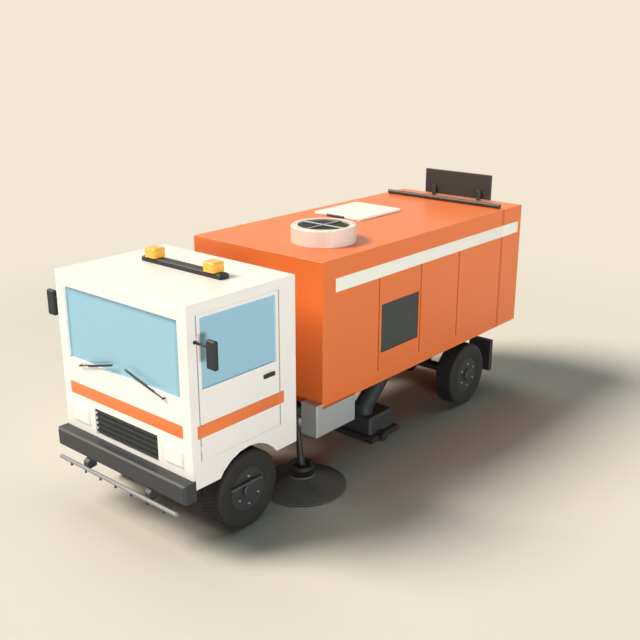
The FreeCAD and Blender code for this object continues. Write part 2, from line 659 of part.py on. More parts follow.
def front_bumper():
    """Bevelled steel bumper, its ends wrapped round the cab's corners."""
    front = CAB_FRONT - BUMPER_DEPTH
    beam = box(-BUMPER_HALF, BUMPER_HALF, front, CAB_FRONT + BUMPER_RETURN, BUMPER_BOTTOM,
               BUMPER_TOP)
    beam = chamfered(beam, BUMPER_BEVEL, lambda e: e.BoundBox.YMax < front + 1)
    seat = box(-CAB_HALF - SEAT_GAP, CAB_HALF + SEAT_GAP, CAB_FRONT - SEAT_GAP,
               CAB_FRONT + BUMPER_RETURN + 1, BUMPER_BOTTOM - 1, BUMPER_TOP + 1)
    return beam.cut(seat)


def spray_bar():
    """Water tube with its nozzles, on two bent brackets under the bumper."""
    y = CAB_FRONT - BUMPER_DEPTH - SPRAY_AHEAD
    pieces = [rod(V(-SPRAY_HALF, y, SPRAY_Z), V(SPRAY_HALF, y, SPRAY_Z), SPRAY_TUBE_R)]
    for number in range(NOZZLES):
        x = (number - (NOZZLES - 1) / 2) * NOZZLE_PITCH
        pieces.append(Part.makeCylinder(NOZZLE_R, NOZZLE_LENGTH,
                                        V(x, y, SPRAY_Z - 10 - NOZZLE_LENGTH)))
    foot = BUMPER_BOTTOM
    outline = [(y + 7, SPRAY_Z - 8), (y + 140, foot - 112), (y + 140, foot), (y + 45, foot),
               (y + 7, foot - 32)]
    for x in (-BRACKET_X, BRACKET_X):
        pieces.append(side_prism(outline, x - BRACKET_WIDTH / 2, x + BRACKET_WIDTH / 2))
    return fused(pieces)


WIPER_FROM_SIDE = 422.0
WIPER_PIVOT_X = CAB_HALF - WIPER_FROM_SIDE
WIPER_PIVOT_DOWN = 52.0     # pivots below the screen
WIPER_PIVOT_Z = SCREEN_BOTTOM - WIPER_PIVOT_DOWN
WIPER_TIP_X = 120.0
WIPER_RISE = 180.0
WIPER_TIP_Z = WIPER_PIVOT_Z + WIPER_RISE
WIPER_OUT = 30.0
WIPER_R = 8.0
WIPER_BOSS_R = 11.0


def wiper():
    """Wiper arm with its blade, from a pivot below the screen towards the middle."""
    y = CAB_FRONT - WIPER_OUT
    pivot = V(WIPER_PIVOT_X, y, WIPER_PIVOT_Z)
    tip = V(WIPER_TIP_X, y, WIPER_TIP_Z)
    arm = rod(pivot, tip, WIPER_R)
    boss = rod(V(WIPER_PIVOT_X, CAB_FRONT, WIPER_PIVOT_Z), V(WIPER_PIVOT_X, y - 8, WIPER_PIVOT_Z),
               WIPER_BOSS_R)
    along = tip.sub(pivot).normalize()
    start = pivot.add(V(along).multiply(170))
    blade = Part.makeBox(500, 16, 20, V(0, 0, 0))
    turn = math.degrees(math.atan2(along.z, along.x))
    blade.rotate(V(0, 0, 0), Y_AXIS, -turn)
    blade.translate(start + V(0, 2, 0))
    return fused([arm, boss, blade])


MIRROR_REACH = 278.0         # mirror's middle outside the cab's side
MIRROR_X = CAB_HALF + MIRROR_REACH
MIRROR_BACK = 108.0          # mirror's middle behind the cab's front
MIRROR_WIDTH = 150.0
MIRROR_DEPTH = 62.0
MIRROR_HEIGHT = 335.0
MIRROR_BELOW_TOP = 340.0
MIRROR_TOP = CAB_TOP - MIRROR_BELOW_TOP
MIRROR_BOTTOM = MIRROR_TOP - MIRROR_HEIGHT
MIRROR_ARM_R = 15.0
MIRROR_ARM_DOWN = 90.0      # arm below the mirror's top
MIRROR_FOOT = 6.0
MIRROR_FOOT_R = 22.0


def mirror():
    """Mirror head on a round arm that is flanged to the front pillar."""
    y = CAB_FRONT + MIRROR_BACK
    head = box(MIRROR_X - MIRROR_WIDTH / 2, MIRROR_X + MIRROR_WIDTH / 2, y - MIRROR_DEPTH / 2,
               y + MIRROR_DEPTH / 2, MIRROR_BOTTOM, MIRROR_TOP)
    head = chamfered(head, 14, lambda e: True)
    arm_z = MIRROR_TOP - MIRROR_ARM_DOWN
    arm = rod(V(CAB_HALF, y, arm_z), V(MIRROR_X, y, arm_z), MIRROR_ARM_R)
    foot = rod(V(CAB_HALF, y, arm_z), V(CAB_HALF + MIRROR_FOOT, y, arm_z), MIRROR_FOOT_R)
    return fused([head, foot, arm])


LIGHT_BAR_HALF = 722.0
LIGHT_BAR_SETBACK = 965.0
LIGHT_BAR_FRONT = CAB_FRONT + LIGHT_BAR_SETBACK
LIGHT_BAR_DEPTH = 150.0
LIGHT_BAR_HEIGHT = 66.0
BEACON_X = 540.0
BEACON_WIDTH = 205.0
BEACON_DEPTH = 188.0
BEACON_HEIGHT = 126.0


def light_bar():
    rear = LIGHT_BAR_FRONT + LIGHT_BAR_DEPTH
    bar = box(-LIGHT_BAR_HALF, LIGHT_BAR_HALF, LIGHT_BAR_FRONT, rear, CAB_TOP,
              CAB_TOP + LIGHT_BAR_HEIGHT)
    return chamfered(bar, 16, lambda e: e.BoundBox.ZMin > CAB_TOP + 1)


def beacon():
    middle = LIGHT_BAR_FRONT + LIGHT_BAR_DEPTH / 2
    low = CAB_TOP + LIGHT_BAR_HEIGHT
    lamp = box(BEACON_X - BEACON_WIDTH / 2, BEACON_X + BEACON_WIDTH / 2,
               middle - BEACON_DEPTH / 2, middle + BEACON_DEPTH / 2, low, low + BEACON_HEIGHT)
    return chamfered(lamp, 20, lambda e: e.BoundBox.ZMax > low + 1)


SEAT_X = 560.0
SEAT_WIDTH = 500.0
SEAT_SETBACK = 760.0
SEAT_FRONT = CAB_FRONT + SEAT_SETBACK
SEAT_LENGTH = 500.0
CUSHION_LOW = 1440.0
CUSHION_THICK = 130.0
BACKREST_THICK = 130.0
BACKREST_TOP = 2330.0
PEDESTAL_INSET = 60.0


def seat():
    """Seat on its pedestal: cushion and backrest as one simple soft solid."""
    x0 = SEAT_X - SEAT_WIDTH / 2
    x1 = SEAT_X + SEAT_WIDTH / 2
    rear = SEAT_FRONT + SEAT_LENGTH
    top = CUSHION_LOW + CUSHION_THICK
    outline = [(SEAT_FRONT, CUSHION_LOW), (rear, CUSHION_LOW), (rear + 110, BACKREST_TOP),
               (rear + 110 - BACKREST_THICK, BACKREST_TOP), (rear - BACKREST_THICK, top),
               (SEAT_FRONT, top)]
    soft = side_prism(outline, x0, x1)
    pedestal = box(x0 + PEDESTAL_INSET, x1 - PEDESTAL_INSET, SEAT_FRONT + PEDESTAL_INSET,
                   rear - PEDESTAL_INSET, CAB_FLOOR_TOP, CUSHION_LOW)
    return fused([soft, pedestal])


DASH_BOTTOM = 1420.0
DASH_TOP = 1880.0
DASH_DEPTH = 300.0
STEERING_R = 225.0
STEERING_GRIP = 16.0
STEERING_SETBACK = 500.0
STEERING_Y = CAB_FRONT + STEERING_SETBACK
STEERING_Z = 1790.0
STEERING_TILT = 35.0
COLUMN_LENGTH = 400.0


def dashboard():
    """Dashboard across the cab with the steering column and wheel on the left."""
    inner = CAB_HALF - CAB_WALL
    y = CAB_FRONT + CAB_WALL
    outline = [(y, DASH_BOTTOM), (y + DASH_DEPTH - 60, DASH_BOTTOM), (y + DASH_DEPTH, DASH_TOP - 120),
               (y + DASH_DEPTH - 90, DASH_TOP), (y, DASH_TOP)]
    dash = side_prism(outline, -inner, inner)
    centre = V(SEAT_X, STEERING_Y, STEERING_Z)
    tilt = math.radians(STEERING_TILT)
    shaft = V(0, math.sin(tilt), math.cos(tilt))
    grip = [V(STEERING_R + STEERING_GRIP * math.cos(math.pi * corner / 3), 0,
              STEERING_GRIP * math.sin(math.pi * corner / 3)) for corner in range(6)]
    wheel = Part.Face(Part.makePolygon(grip + [grip[0]])).revolve(V(0, 0, 0), Z_AXIS, 360)
    wheel.Placement = FreeCAD.Placement(centre, FreeCAD.Rotation(Z_AXIS, shaft))
    spokes = rod(centre - V(STEERING_R, 0, 0), centre + V(STEERING_R, 0, 0), 14)
    boss = rod(centre - V(shaft).multiply(30), centre + V(shaft).multiply(10), 60)
    column = rod(centre, centre - V(shaft).multiply(COLUMN_LENGTH), 28)
    return fused([dash, wheel, spokes, boss, column])


save("cab_shell", [cab_shell()])
save("cab_roof", [cab_roof()])
save("cab_floor", [cab_floor()])
save("cab_glass", cab_glass())
save("door_left", [door()])
save("door_right", [other_side(door())])
save("door_glass_left", [door_glass()])
save("door_glass_right", [other_side(door_glass())])
save("grille", [grille()])
save("headlamps", both_sides(headlamp()))
save("front_bumper", [front_bumper()])
save("spray_bar", [spray_bar()])
save("wipers", both_sides(wiper()))
save("mirrors", both_sides(mirror()))
save("light_bar", [light_bar()])
save("beacons", both_sides(beacon()))
save("seats", both_sides(seat()))
save("dashboard", [dashboard()])


# ---------------------------------------------------------------- hopper

VENT_BEHIND_FRONT = 1250.0
VENT_LENGTH = 898.0
VENT_FRONT = HOPPER_FRONT + VENT_BEHIND_FRONT
VENT_REAR = VENT_FRONT + VENT_LENGTH
VENT_BOTTOM = 1553.0
VENT_TOP = 2258.0
VENT_RECESS = 12.0
VENT_THICK = 20.0
GROOVES = [1190.0, 2190.0, 3200.0]  # pressed grooves in each side, behind the front wall
GROOVE_BOTTOM = 1305.0
GROOVE_TOP = 2640.0
GROOVE_WIDTH = 14.0
GROOVE_DEPTH = 8.0
SEAM_REBATE = 7.0           # edge set back beside the tailgate's seam
HATCH_IN = 0.0
HATCH_WIDTH = 925.0
HATCH_BEHIND_FRONT = 2270.0
HATCH_LENGTH = 1070.0
HATCH_OUT = HATCH_IN - HATCH_WIDTH
HATCH_FRONT = HOPPER_FRONT + HATCH_BEHIND_FRONT
HATCH_REAR = HATCH_FRONT + HATCH_LENGTH
HATCH_THICK = 34.0
HATCH_LAP = 45.0            # how far the lid covers the roof round its opening
FAN_X = 412.0
FAN_BEHIND_FRONT = 938.0
FAN_Y = HOPPER_FRONT + FAN_BEHIND_FRONT
FAN_COWL_R = 452.0
FAN_OPENING_R = 360.0
FAN_HEIGHT = 232.0
FAN_HOLE_R = 300.0
BAR_R = 20.0
BAR_UP = 40.0               # hinge bar's centre above the roof
BAR_FROM_SIDE = 90.0
BAR_HALF = HOPPER_HALF - BAR_FROM_SIDE
BAR_Y = TAILGATE_FRONT
RING_R = BAR_UP - MOVING_GAP   # tailgate's rings and the bar's sleeves between them
RING_LENGTH = 90.0
RING_X = [-760.0, 0.0, 760.0]
SADDLE_IN = 45.0            # outer saddles in from the bar's ends
SADDLE_X = [SADDLE_IN - BAR_HALF, -420.0, 420.0, BAR_HALF - SADDLE_IN]
SADDLE_LENGTH = 60.0
SADDLE_AHEAD = 28.0
HATCH_PIN_R = 8.0
HATCH_BARREL_R = 15.0
HATCH_PIN_UP = HATCH_BARREL_R + MOVING_GAP
HATCH_PIN_Y = HATCH_REAR + HATCH_BARREL_R + MOVING_GAP
HATCH_HINGE_INSET = 165.0
HATCH_HINGES = [HATCH_OUT + HATCH_HINGE_INSET, HATCH_IN - HATCH_HINGE_INSET]
GRAB_HALF = 165.0
GRAB_R = 18.0
GRAB_LEG_R = 9.0
GRAB_AHEAD = 32.0
GRAB_UP = 23.0              # grab bar's centre above the lid's foot
HATCH_CORNER_R = 42.0


def seam_rebate():
    """Step along the rear edge of a side, which widens the tailgate's seam."""
    return box(HOPPER_HALF - GROOVE_DEPTH, HOPPER_HALF + 1, HOPPER_REAR - SEAM_REBATE,
               HOPPER_REAR + 1, HOPPER_BOTTOM - 1, HOPPER_TOP + 1)


def hopper_shell():
    """Floor, front wall and sides of the hopper, with grooves and a vent opening each side."""
    wall = HOPPER_WALL
    top = HOPPER_TOP - wall
    shell = box(-HOPPER_HALF, HOPPER_HALF, HOPPER_FRONT, HOPPER_REAR, HOPPER_BOTTOM, top)
    shell = rounded(shell, BODY_EDGE_R, lambda e: upright(e) and e.BoundBox.YMax < HOPPER_FRONT + 1)
    tools = [box(-HOPPER_HALF + wall, HOPPER_HALF - wall, HOPPER_FRONT + wall, HOPPER_REAR + 1,
                 HOPPER_BOTTOM + wall, top + 1)]
    vent = box(HOPPER_HALF - wall - 1, HOPPER_HALF + 1, VENT_FRONT, VENT_REAR, VENT_BOTTOM,
               VENT_TOP)
    tools += both_sides(vent)
    for behind in GROOVES:
        middle = HOPPER_FRONT + behind
        groove = box(HOPPER_HALF - GROOVE_DEPTH, HOPPER_HALF + 1, middle - GROOVE_WIDTH / 2,
                     middle + GROOVE_WIDTH / 2, GROOVE_BOTTOM, GROOVE_TOP)
        tools += both_sides(groove)
    tools += both_sides(seam_rebate())
    return cut_all(shell, tools)


def hopper_roof():
    """Roof sheet with the fan's hole, the hatch's opening and the hatch's hinge blocks."""
    low = HOPPER_TOP - HOPPER_WALL
    roof = box(-HOPPER_HALF, HOPPER_HALF, HOPPER_FRONT, HOPPER_REAR, low, HOPPER_TOP)
    open_end = HOPPER_REAR - 1
    roof = rounded(roof, BODY_EDGE_R,
                   lambda e: e.BoundBox.ZMax > low + 1 and e.BoundBox.YMin < open_end)
    roof = cut_all(roof, [Part.makeCylinder(FAN_HOLE_R, HOPPER_WALL + 2, V(FAN_X, FAN_Y, low - 1)),
                          box(HATCH_OUT + HATCH_LAP, HATCH_IN - HATCH_LAP, HATCH_FRONT + HATCH_LAP,
                              HATCH_REAR - HATCH_LAP, low - 1, HOPPER_TOP + 1)]
                   + both_sides(seam_rebate()))
    pieces = [roof]
    for x in HATCH_HINGES:
        pieces.append(box(x - 60, x - 30, HATCH_PIN_Y - 15, HATCH_PIN_Y + 15, HOPPER_TOP,
                          HOPPER_TOP + HATCH_PIN_UP + 12))
        pieces.append(rod(V(x - 60, HATCH_PIN_Y, HOPPER_TOP + HATCH_PIN_UP),
                          V(x + 30, HATCH_PIN_Y, HOPPER_TOP + HATCH_PIN_UP), HATCH_PIN_R))
    return fused(pieces)


def tipping_lugs():
    """Two bored lugs on the tipping pivot and the two ears of the ram's upper eye."""
    lug = rod(V(TIP_LUG_IN, TIP_PIVOT, TIP_PIVOT_Z), V(TIP_LUG_OUT, TIP_PIVOT, TIP_PIVOT_Z),
              TIP_LUG_R)
    stem = box(TIP_LUG_IN, TIP_LUG_OUT, TIP_PIVOT - TIP_LUG_R, TIP_PIVOT + TIP_LUG_R, TIP_PIVOT_Z,
               HOPPER_BOTTOM)
    bore = rod(V(TIP_LUG_IN - 1, TIP_PIVOT, TIP_PIVOT_Z), V(TIP_LUG_OUT + 1, TIP_PIVOT, TIP_PIVOT_Z),
               TIP_PIN_R + FIT_GAP)
    ear_in = RAM_EYE_HALF + MOVING_GAP
    ear = box(ear_in, ear_in + RAM_EAR, RAM_HEAD - 70, RAM_HEAD + 70, RAM_HEAD_Z - 25,
              HOPPER_BOTTOM)
    return both_sides(fused([lug, stem]).cut(bore)) + both_sides(ear)


def vent_panel():
    """Plain panel over the engine bay, set back in the hopper's side."""
    out = HOPPER_HALF - VENT_RECESS
    return box(out - VENT_THICK, out, VENT_FRONT, VENT_REAR, VENT_BOTTOM, VENT_TOP)


def hinge_bar():
    """Round bar across the roof on low saddles, sleeved flush with the tailgate's rings."""
    z = HOPPER_TOP + BAR_UP
    pieces = [rod(V(-BAR_HALF, BAR_Y, z), V(BAR_HALF, BAR_Y, z), BAR_R)]
    room = RING_LENGTH / 2 + MOVING_GAP
    ends = [-BAR_HALF] + [x + side * room for x in RING_X for side in (-1, 1)] + [BAR_HALF]
    for start, stop in zip(ends[::2], ends[1::2]):
        pieces.append(rod(V(start, BAR_Y, z), V(stop, BAR_Y, z), RING_R))
    for x in SADDLE_X:
        outline = [(BAR_Y - SADDLE_AHEAD, HOPPER_TOP), (HOPPER_REAR, HOPPER_TOP),
                   (HOPPER_REAR, z - 12), (BAR_Y - SADDLE_AHEAD, z - 12)]
        pieces.append(side_prism(outline, x - SADDLE_LENGTH / 2, x + SADDLE_LENGTH / 2))
    return fused(pieces)


def roof_hatch():
    """Lid over the roof opening, with a grab bar in front and two hinge barrels behind."""
    low = HOPPER_TOP + MOVING_GAP
    lid = box(HATCH_OUT, HATCH_IN, HATCH_FRONT, HATCH_REAR, low, low + HATCH_THICK)
    lid = rounded(lid, HATCH_CORNER_R, upright)
    pieces = [chamfered(lid, 6, lambda e: e.BoundBox.ZMin > low + 1)]
    middle = (HATCH_IN + HATCH_OUT) / 2
    grab_z = low + GRAB_UP
    leg_z = low + HATCH_THICK / 2
    grab_y = HATCH_FRONT - GRAB_AHEAD
    pieces.append(rod(V(middle - GRAB_HALF, grab_y, grab_z), V(middle + GRAB_HALF, grab_y, grab_z),
                      GRAB_R))
    for x in (middle - GRAB_HALF + 20, middle + GRAB_HALF - 20):
        pieces.append(rod(V(x, grab_y, leg_z), V(x, HATCH_FRONT + 5, leg_z), GRAB_LEG_R))
    z = HOPPER_TOP + HATCH_PIN_UP
    barrels = []
    for x in HATCH_HINGES:
        barrels.append(box(x - 25, x + 25, HATCH_REAR - 5, HATCH_PIN_Y, z - 8, z + 8))
        barrels.append(rod(V(x - 25, HATCH_PIN_Y, z), V(x + 25, HATCH_PIN_Y, z), HATCH_BARREL_R))
    lid = fused(pieces + barrels)
    for x in HATCH_HINGES:
        lid = lid.cut(rod(V(x - 26, HATCH_PIN_Y, z), V(x + 26, HATCH_PIN_Y, z),
                          HATCH_PIN_R + FIT_GAP))
    return lid


MOTOR_R = 85.0
MOTOR_TOP = 80.0
ROTOR_LOW = 95.0
ROTOR_HEIGHT = 70.0
ROTOR_BORE = 58.0
ROTOR_R = 345.0
ROTOR_HUB_R = 95.0
ROTOR_SHAFT_R = 15.0
BLADES = 9
BLADE_THICK = 8.0
STRUTS = 3
GUARD_R = 13.0
GUARD_SHORT = 2.0           # bars stop short of the cowl's wall
GRILLE_DOWN = 26.0          # fan grille's top below the cowl's top
GRILLE_DISC = 10.0
GRILLE_BORDER = 25.0
GRILLE_RIB = 16.0           # half width of the solid middle rib
SLOT_PITCH = 38.0
SLOT_WIDTH = 20.0


def fan_cowl():
    """Round cowl on the roof with a motor on three struts and its shaft."""
    foot = V(FAN_X, FAN_Y, HOPPER_TOP)
    cowl = turned([(0, FAN_OPENING_R), (0, FAN_COWL_R), (FAN_HEIGHT - 16, FAN_COWL_R),
                   (FAN_HEIGHT, FAN_COWL_R - 16), (FAN_HEIGHT, FAN_OPENING_R)], foot, Z_AXIS)
    pieces = [cowl, Part.makeCylinder(MOTOR_R, MOTOR_TOP - 10, foot + V(0, 0, 10)),
              Part.makeCylinder(ROTOR_SHAFT_R, ROTOR_LOW + ROTOR_BORE - 2 - 10, foot + V(0, 0, 10))]
    for number in range(STRUTS):
        turn = 2 * math.pi * number / STRUTS + math.pi / 6
        out = V(math.cos(turn), math.sin(turn), 0).multiply(FAN_OPENING_R + 20)
        pieces.append(rod(foot + V(0, 0, 40), foot + V(0, 0, 40) + out, 16))
    return fused(pieces)


def fan_rotor():
    """Bladed rotor on the motor's shaft."""
    low = V(FAN_X, FAN_Y, HOPPER_TOP + ROTOR_LOW)
    hub = Part.makeCylinder(ROTOR_HUB_R, ROTOR_HEIGHT, low)
    pieces = [hub]
    pitch = ROTOR_HEIGHT - 14
    for number in range(BLADES):
        chord = pitch * 1.5
        outline = [V(0, -chord / 2, 7), V(0, chord / 2, 7 + pitch - BLADE_THICK),
                   V(0, chord / 2, 7 + pitch), V(0, -chord / 2, 7 + BLADE_THICK)]
        blade = prism([p + V(ROTOR_HUB_R - 12, 0, 0) for p in outline], X_AXIS,
                      ROTOR_R - ROTOR_HUB_R + 12)
        blade.rotate(V(0, 0, 0), Z_AXIS, 360.0 * number / BLADES)
        blade.translate(low)
        pieces.append(blade)
    rotor = fused(pieces)
    return rotor.cut(Part.makeCylinder(ROTOR_SHAFT_R + FIT_GAP, ROTOR_BORE, low))


def fan_grille():
    """Round plate in the cowl's mouth with rows of slots either side of a solid rib."""
    low = HOPPER_TOP + FAN_HEIGHT - GRILLE_DOWN - GRILLE_DISC
    plate = Part.makeCylinder(FAN_OPENING_R - SEAT_GAP, GRILLE_DISC, V(FAN_X, FAN_Y, low))
    reach = FAN_OPENING_R - GRILLE_BORDER
    rows = int((reach - SLOT_WIDTH) / SLOT_PITCH)
    slots = []
    for number in range(-rows, rows + 1):
        along = SLOT_PITCH * number
        end = math.sqrt(reach ** 2 - (abs(along) + SLOT_WIDTH / 2) ** 2)
        if end > GRILLE_RIB + SLOT_WIDTH:
            for x0, x1 in ((-end, -GRILLE_RIB), (GRILLE_RIB, end)):
                slots.append(box(FAN_X + x0, FAN_X + x1, FAN_Y + along - SLOT_WIDTH / 2,
                                 FAN_Y + along + SLOT_WIDTH / 2, low - 1, low + GRILLE_DISC + 1))
    return plate.cut(Part.makeCompound(slots))


def fan_guard():
    """Two crossed bars resting on the fan's grille."""
    centre = V(FAN_X, FAN_Y, HOPPER_TOP + FAN_HEIGHT - GRILLE_DOWN + GUARD_R + SEAT_GAP)
    reach = FAN_OPENING_R - GUARD_SHORT
    bars = [rod(centre - V(axis).multiply(reach), centre + V(axis).multiply(reach), GUARD_R)
            for axis in (X_AXIS, Y_AXIS)]
    return fused(bars)


BOARD_HALF = 655.0
BOARD_FOOT = 20.0           # board above the roof
BOARD_HEIGHT = 416.0
BOARD_BOTTOM = HOPPER_TOP + BOARD_FOOT
BOARD_TOP = BOARD_BOTTOM + BOARD_HEIGHT
BOARD_THICK = 40.0
BOARD_FROM_REAR = 86.0
BOARD_Y = TAILGATE_REAR - BOARD_FROM_REAR
POST_X = 450.0
POST_R = 36.0
POST_HEIGHT = 172.0
POST_CAP = 14.0


def arrow_board():
    """Blank message board standing on two round-topped posts."""
    front = BOARD_Y - BOARD_THICK / 2
    board = box(-BOARD_HALF, BOARD_HALF, front, front + BOARD_THICK, BOARD_BOTTOM, BOARD_TOP)
    pieces = [chamfered(board, 6, lambda e: True)]
    for x in (-POST_X, POST_X):
        profile = [(0, 0), (0, POST_R), (POST_HEIGHT - POST_CAP, POST_R),
                   (POST_HEIGHT, POST_R / 2), (POST_HEIGHT, 0)]
        pieces.append(turned(profile, V(x, front - POST_R + 8, HOPPER_TOP), Z_AXIS))
    return fused(pieces)


RIB_HALF = 60.0
RIB_X = [-780.0, 0.0, 780.0]
RIB_END = 180.0             # ribs stop this far from the tailgate's top and bottom


def tailgate():
    """Box-shaped rear section, open to the front, hung on rings round the hinge bar."""
    wall = HOPPER_WALL
    gate = box(-HOPPER_HALF, HOPPER_HALF, TAILGATE_FRONT, TAILGATE_REAR, HOPPER_BOTTOM, HOPPER_TOP)
    gate = rounded(gate, BODY_EDGE_R, lambda e: e.BoundBox.ZMax > HOPPER_BOTTOM + 1
                   and e.BoundBox.YMax > TAILGATE_FRONT + 1)
    gate = gate.cut(box(-HOPPER_HALF + wall, HOPPER_HALF - wall, TAILGATE_FRONT - 1,
                        TAILGATE_REAR - wall, HOPPER_BOTTOM + wall, HOPPER_TOP - wall))
    pieces = [gate]
    for x in RIB_X:
        low = HOPPER_BOTTOM + RIB_END
        high = HOPPER_TOP - RIB_END
        rib = [(x - RIB_HALF, TAILGATE_REAR), (x - RIB_HALF + REAR_RIB, TAILGATE_REAR + REAR_RIB),
               (x + RIB_HALF - REAR_RIB, TAILGATE_REAR + REAR_RIB), (x + RIB_HALF, TAILGATE_REAR)]
        pieces.append(prism([V(px, py, low) for px, py in rib], Z_AXIS, high - low))
    z = HOPPER_TOP + BAR_UP
    bores = []
    for x in RING_X:
        x0 = x - RING_LENGTH / 2
        x1 = x + RING_LENGTH / 2
        pieces.append(rod(V(x0, BAR_Y, z), V(x1, BAR_Y, z), RING_R))
        pieces.append(box(x0, x1, TAILGATE_FRONT, BAR_Y + 70, HOPPER_TOP, z))
        bores.append(rod(V(x0 - 1, BAR_Y, z), V(x1 + 1, BAR_Y, z), BAR_R + FIT_GAP))
    return cut_all(fused(pieces), bores)


save("hopper_shell", [hopper_shell()])
save("hopper_roof", [hopper_roof()])
save("tipping_lugs", tipping_lugs())
save("vent_panels", both_sides(vent_panel()))
save("hinge_bar", [hinge_bar()])
save("roof_hatch", [roof_hatch()])
save("fan_cowl", [fan_cowl()])
save("fan_rotor", [fan_rotor()])
save("fan_grille", [fan_grille()])
save("fan_guard", [fan_guard()])
save("arrow_board", [arrow_board()])
save("tailgate", [tailgate()])


# ---------------------------------------------------------------- tipping ram

RAM_NECK = 75.0              # barrel starts this far from its pin
RAM_NECK_R = 30.0
RAM_BARREL_R = 58.0
RAM_BARREL_LENGTH = 1120.0
RAM_ROD_R = 36.0
RAM_ROD_IN = 900.0           # rod inside the barrel when the hopper is down


def ram_line():
    base = V(0, RAM_BASE, RAM_BASE_Z)
    head = V(0, RAM_HEAD, RAM_HEAD_Z)
    run = head.sub(base)
    return base, head, V(run).normalize()


def ram_barrel():
    """Barrel of the tipping ram with its lower eye."""
    base, head, along = ram_line()
    eye = rod(base - V(RAM_EYE_HALF, 0, 0), base + V(RAM_EYE_HALF, 0, 0), RAM_EYE_R)
    neck = rod(base, base + V(along).multiply(RAM_NECK + 5), RAM_NECK_R)
    end = base + V(along).multiply(RAM_BARREL_LENGTH)
    barrel = rod(base + V(along).multiply(RAM_NECK), end, RAM_BARREL_R)
    body = fused([eye, neck, barrel])
    bore_start = end - V(along).multiply(RAM_ROD_IN + MOVING_GAP)
    return cut_all(body, [rod(bore_start, end + along, RAM_ROD_R + FIT_GAP),
                          rod(base - V(RAM_EYE_HALF + 1, 0, 0), base + V(RAM_EYE_HALF + 1, 0, 0),
                              RAM_PIN_R + FIT_GAP)])


def ram_rod():
    """Rod of the tipping ram with its upper eye, which stays open at the hopper's ears."""
    base, head, along = ram_line()
    start = base + V(along).multiply(RAM_BARREL_LENGTH - RAM_ROD_IN)
    eye = rod(head - V(RAM_EYE_HALF, 0, 0), head + V(RAM_EYE_HALF, 0, 0), RAM_EYE_R)
    body = fused([rod(start, head, RAM_ROD_R), eye])
    return body.cut(rod(head - V(RAM_EYE_HALF + 1, 0, 0), head + V(RAM_EYE_HALF + 1, 0, 0),
                        RAM_PIN_R))


save("ram_barrel", [ram_barrel()])
save("ram_rod", [ram_rod()])


# ---------------------------------------------------------------- side lockers

LOCKER_DEPTH = 270.0
LOCKER_OUT = HOPPER_HALF
LOCKER_IN = LOCKER_OUT - LOCKER_DEPTH
LOCKER_AHEAD = 127.0
LOCKER_BEHIND = 680.0
LOCKER_BOTTOM = 736.0
LOCKER_TOP = 1191.0
LOCKER_CATCH_UP = 905.0


def side_locker():
    """Aluminium locker under the hopper's front corner, stepped to pass below the hopper."""
    front = HOPPER_FRONT - LOCKER_AHEAD
    rear = HOPPER_FRONT + LOCKER_BEHIND
    under = HOPPER_BOTTOM - MOVING_GAP
    step_y = HOPPER_FRONT - MOVING_GAP
    outline = [(front, LOCKER_BOTTOM), (rear, LOCKER_BOTTOM), (rear, under), (step_y, under),
               (step_y, LOCKER_TOP), (front, LOCKER_TOP)]
    return side_prism(outline, LOCKER_IN, LOCKER_OUT)


def locker_arms():
    """Arms from a side rail out to a locker's inner wall."""
    arms = []
    for behind in LOCKER_ARM:
        y = HOPPER_FRONT + behind
        arms.append(box(RAIL_OUT, LOCKER_IN, y, y + 50, 940, 1000))
    return arms


save("side_lockers", both_sides(side_locker()))


# ---------------------------------------------------------------- side brooms

BROOM_X = 972.0
BROOM_AHEAD = 171.0         # broom's middle ahead of the hopper's front
BROOM_Y = HOPPER_FRONT - BROOM_AHEAD
BROOM_R = 610.0
BROOM_PLATE_R = 190.0
BRISTLE_FOOT = 8.0          # bristle tips above the ground
BRISTLE_THICK = 26.0
BRISTLE_TOP = 170.0
PLATE_TOP = 245.0
BROOM_SHAFT_R = 18.0
MOTOR_LOW = PLATE_TOP + MOVING_GAP
DISH_R = 172.0              # dish round the leg's foot, over the broom's plate
DISH_FOOT_R = 140.0
DISH_WAIST = 24.0           # dish widens up to here, then goes straight up
DISH_HEIGHT = 72.0
DISH_RIM = 30.0
DISH_FLOOR = 34.0
LEG_TOP_X = 915.0
LEG_TOP_AHEAD = 202.0
LEG_TOP_Y = HOPPER_FRONT - LEG_TOP_AHEAD
LEG_TOP_Z = BROOM_PIVOT_Z
LEG_TOP_R = 20.0
LEG_FOOT_R = 56.0
KNEE_R = 36.0
ARM_HALF = 32.0
PIVOT_R = 48.0
PIVOT_HALF = 60.0
PIVOT_PIN_R = 20.0
PIVOT_PLATE = 22.0
SWING_TILT = 23.0           # the swing pin leans so that the broom lifts as it folds in
SWING_LEAN = V(0.894, -0.448, 0)


def swing_axis():
    tilt = math.radians(SWING_TILT)
    return V(SWING_LEAN).multiply(math.sin(tilt)) + V(0, 0, math.cos(tilt))


def broom():
    """Cup broom: flared bristle skirt under a round plate, bored for the motor's shaft."""
    foot = V(BROOM_X, BROOM_Y, 0)
    profile = [(BRISTLE_FOOT, BROOM_R), (BRISTLE_FOOT + BRISTLE_THICK, BROOM_R),
               (BRISTLE_TOP, BROOM_PLATE_R), (PLATE_TOP, BROOM_PLATE_R - 12),
               (PLATE_TOP, BROOM_SHAFT_R + FIT_GAP),
               (BRISTLE_TOP - 50, BROOM_SHAFT_R + FIT_GAP), (BRISTLE_TOP - 50, BROOM_PLATE_R - 20),
               (BRISTLE_FOOT, BROOM_R - 90)]
    return turned(profile, foot, Z_AXIS)


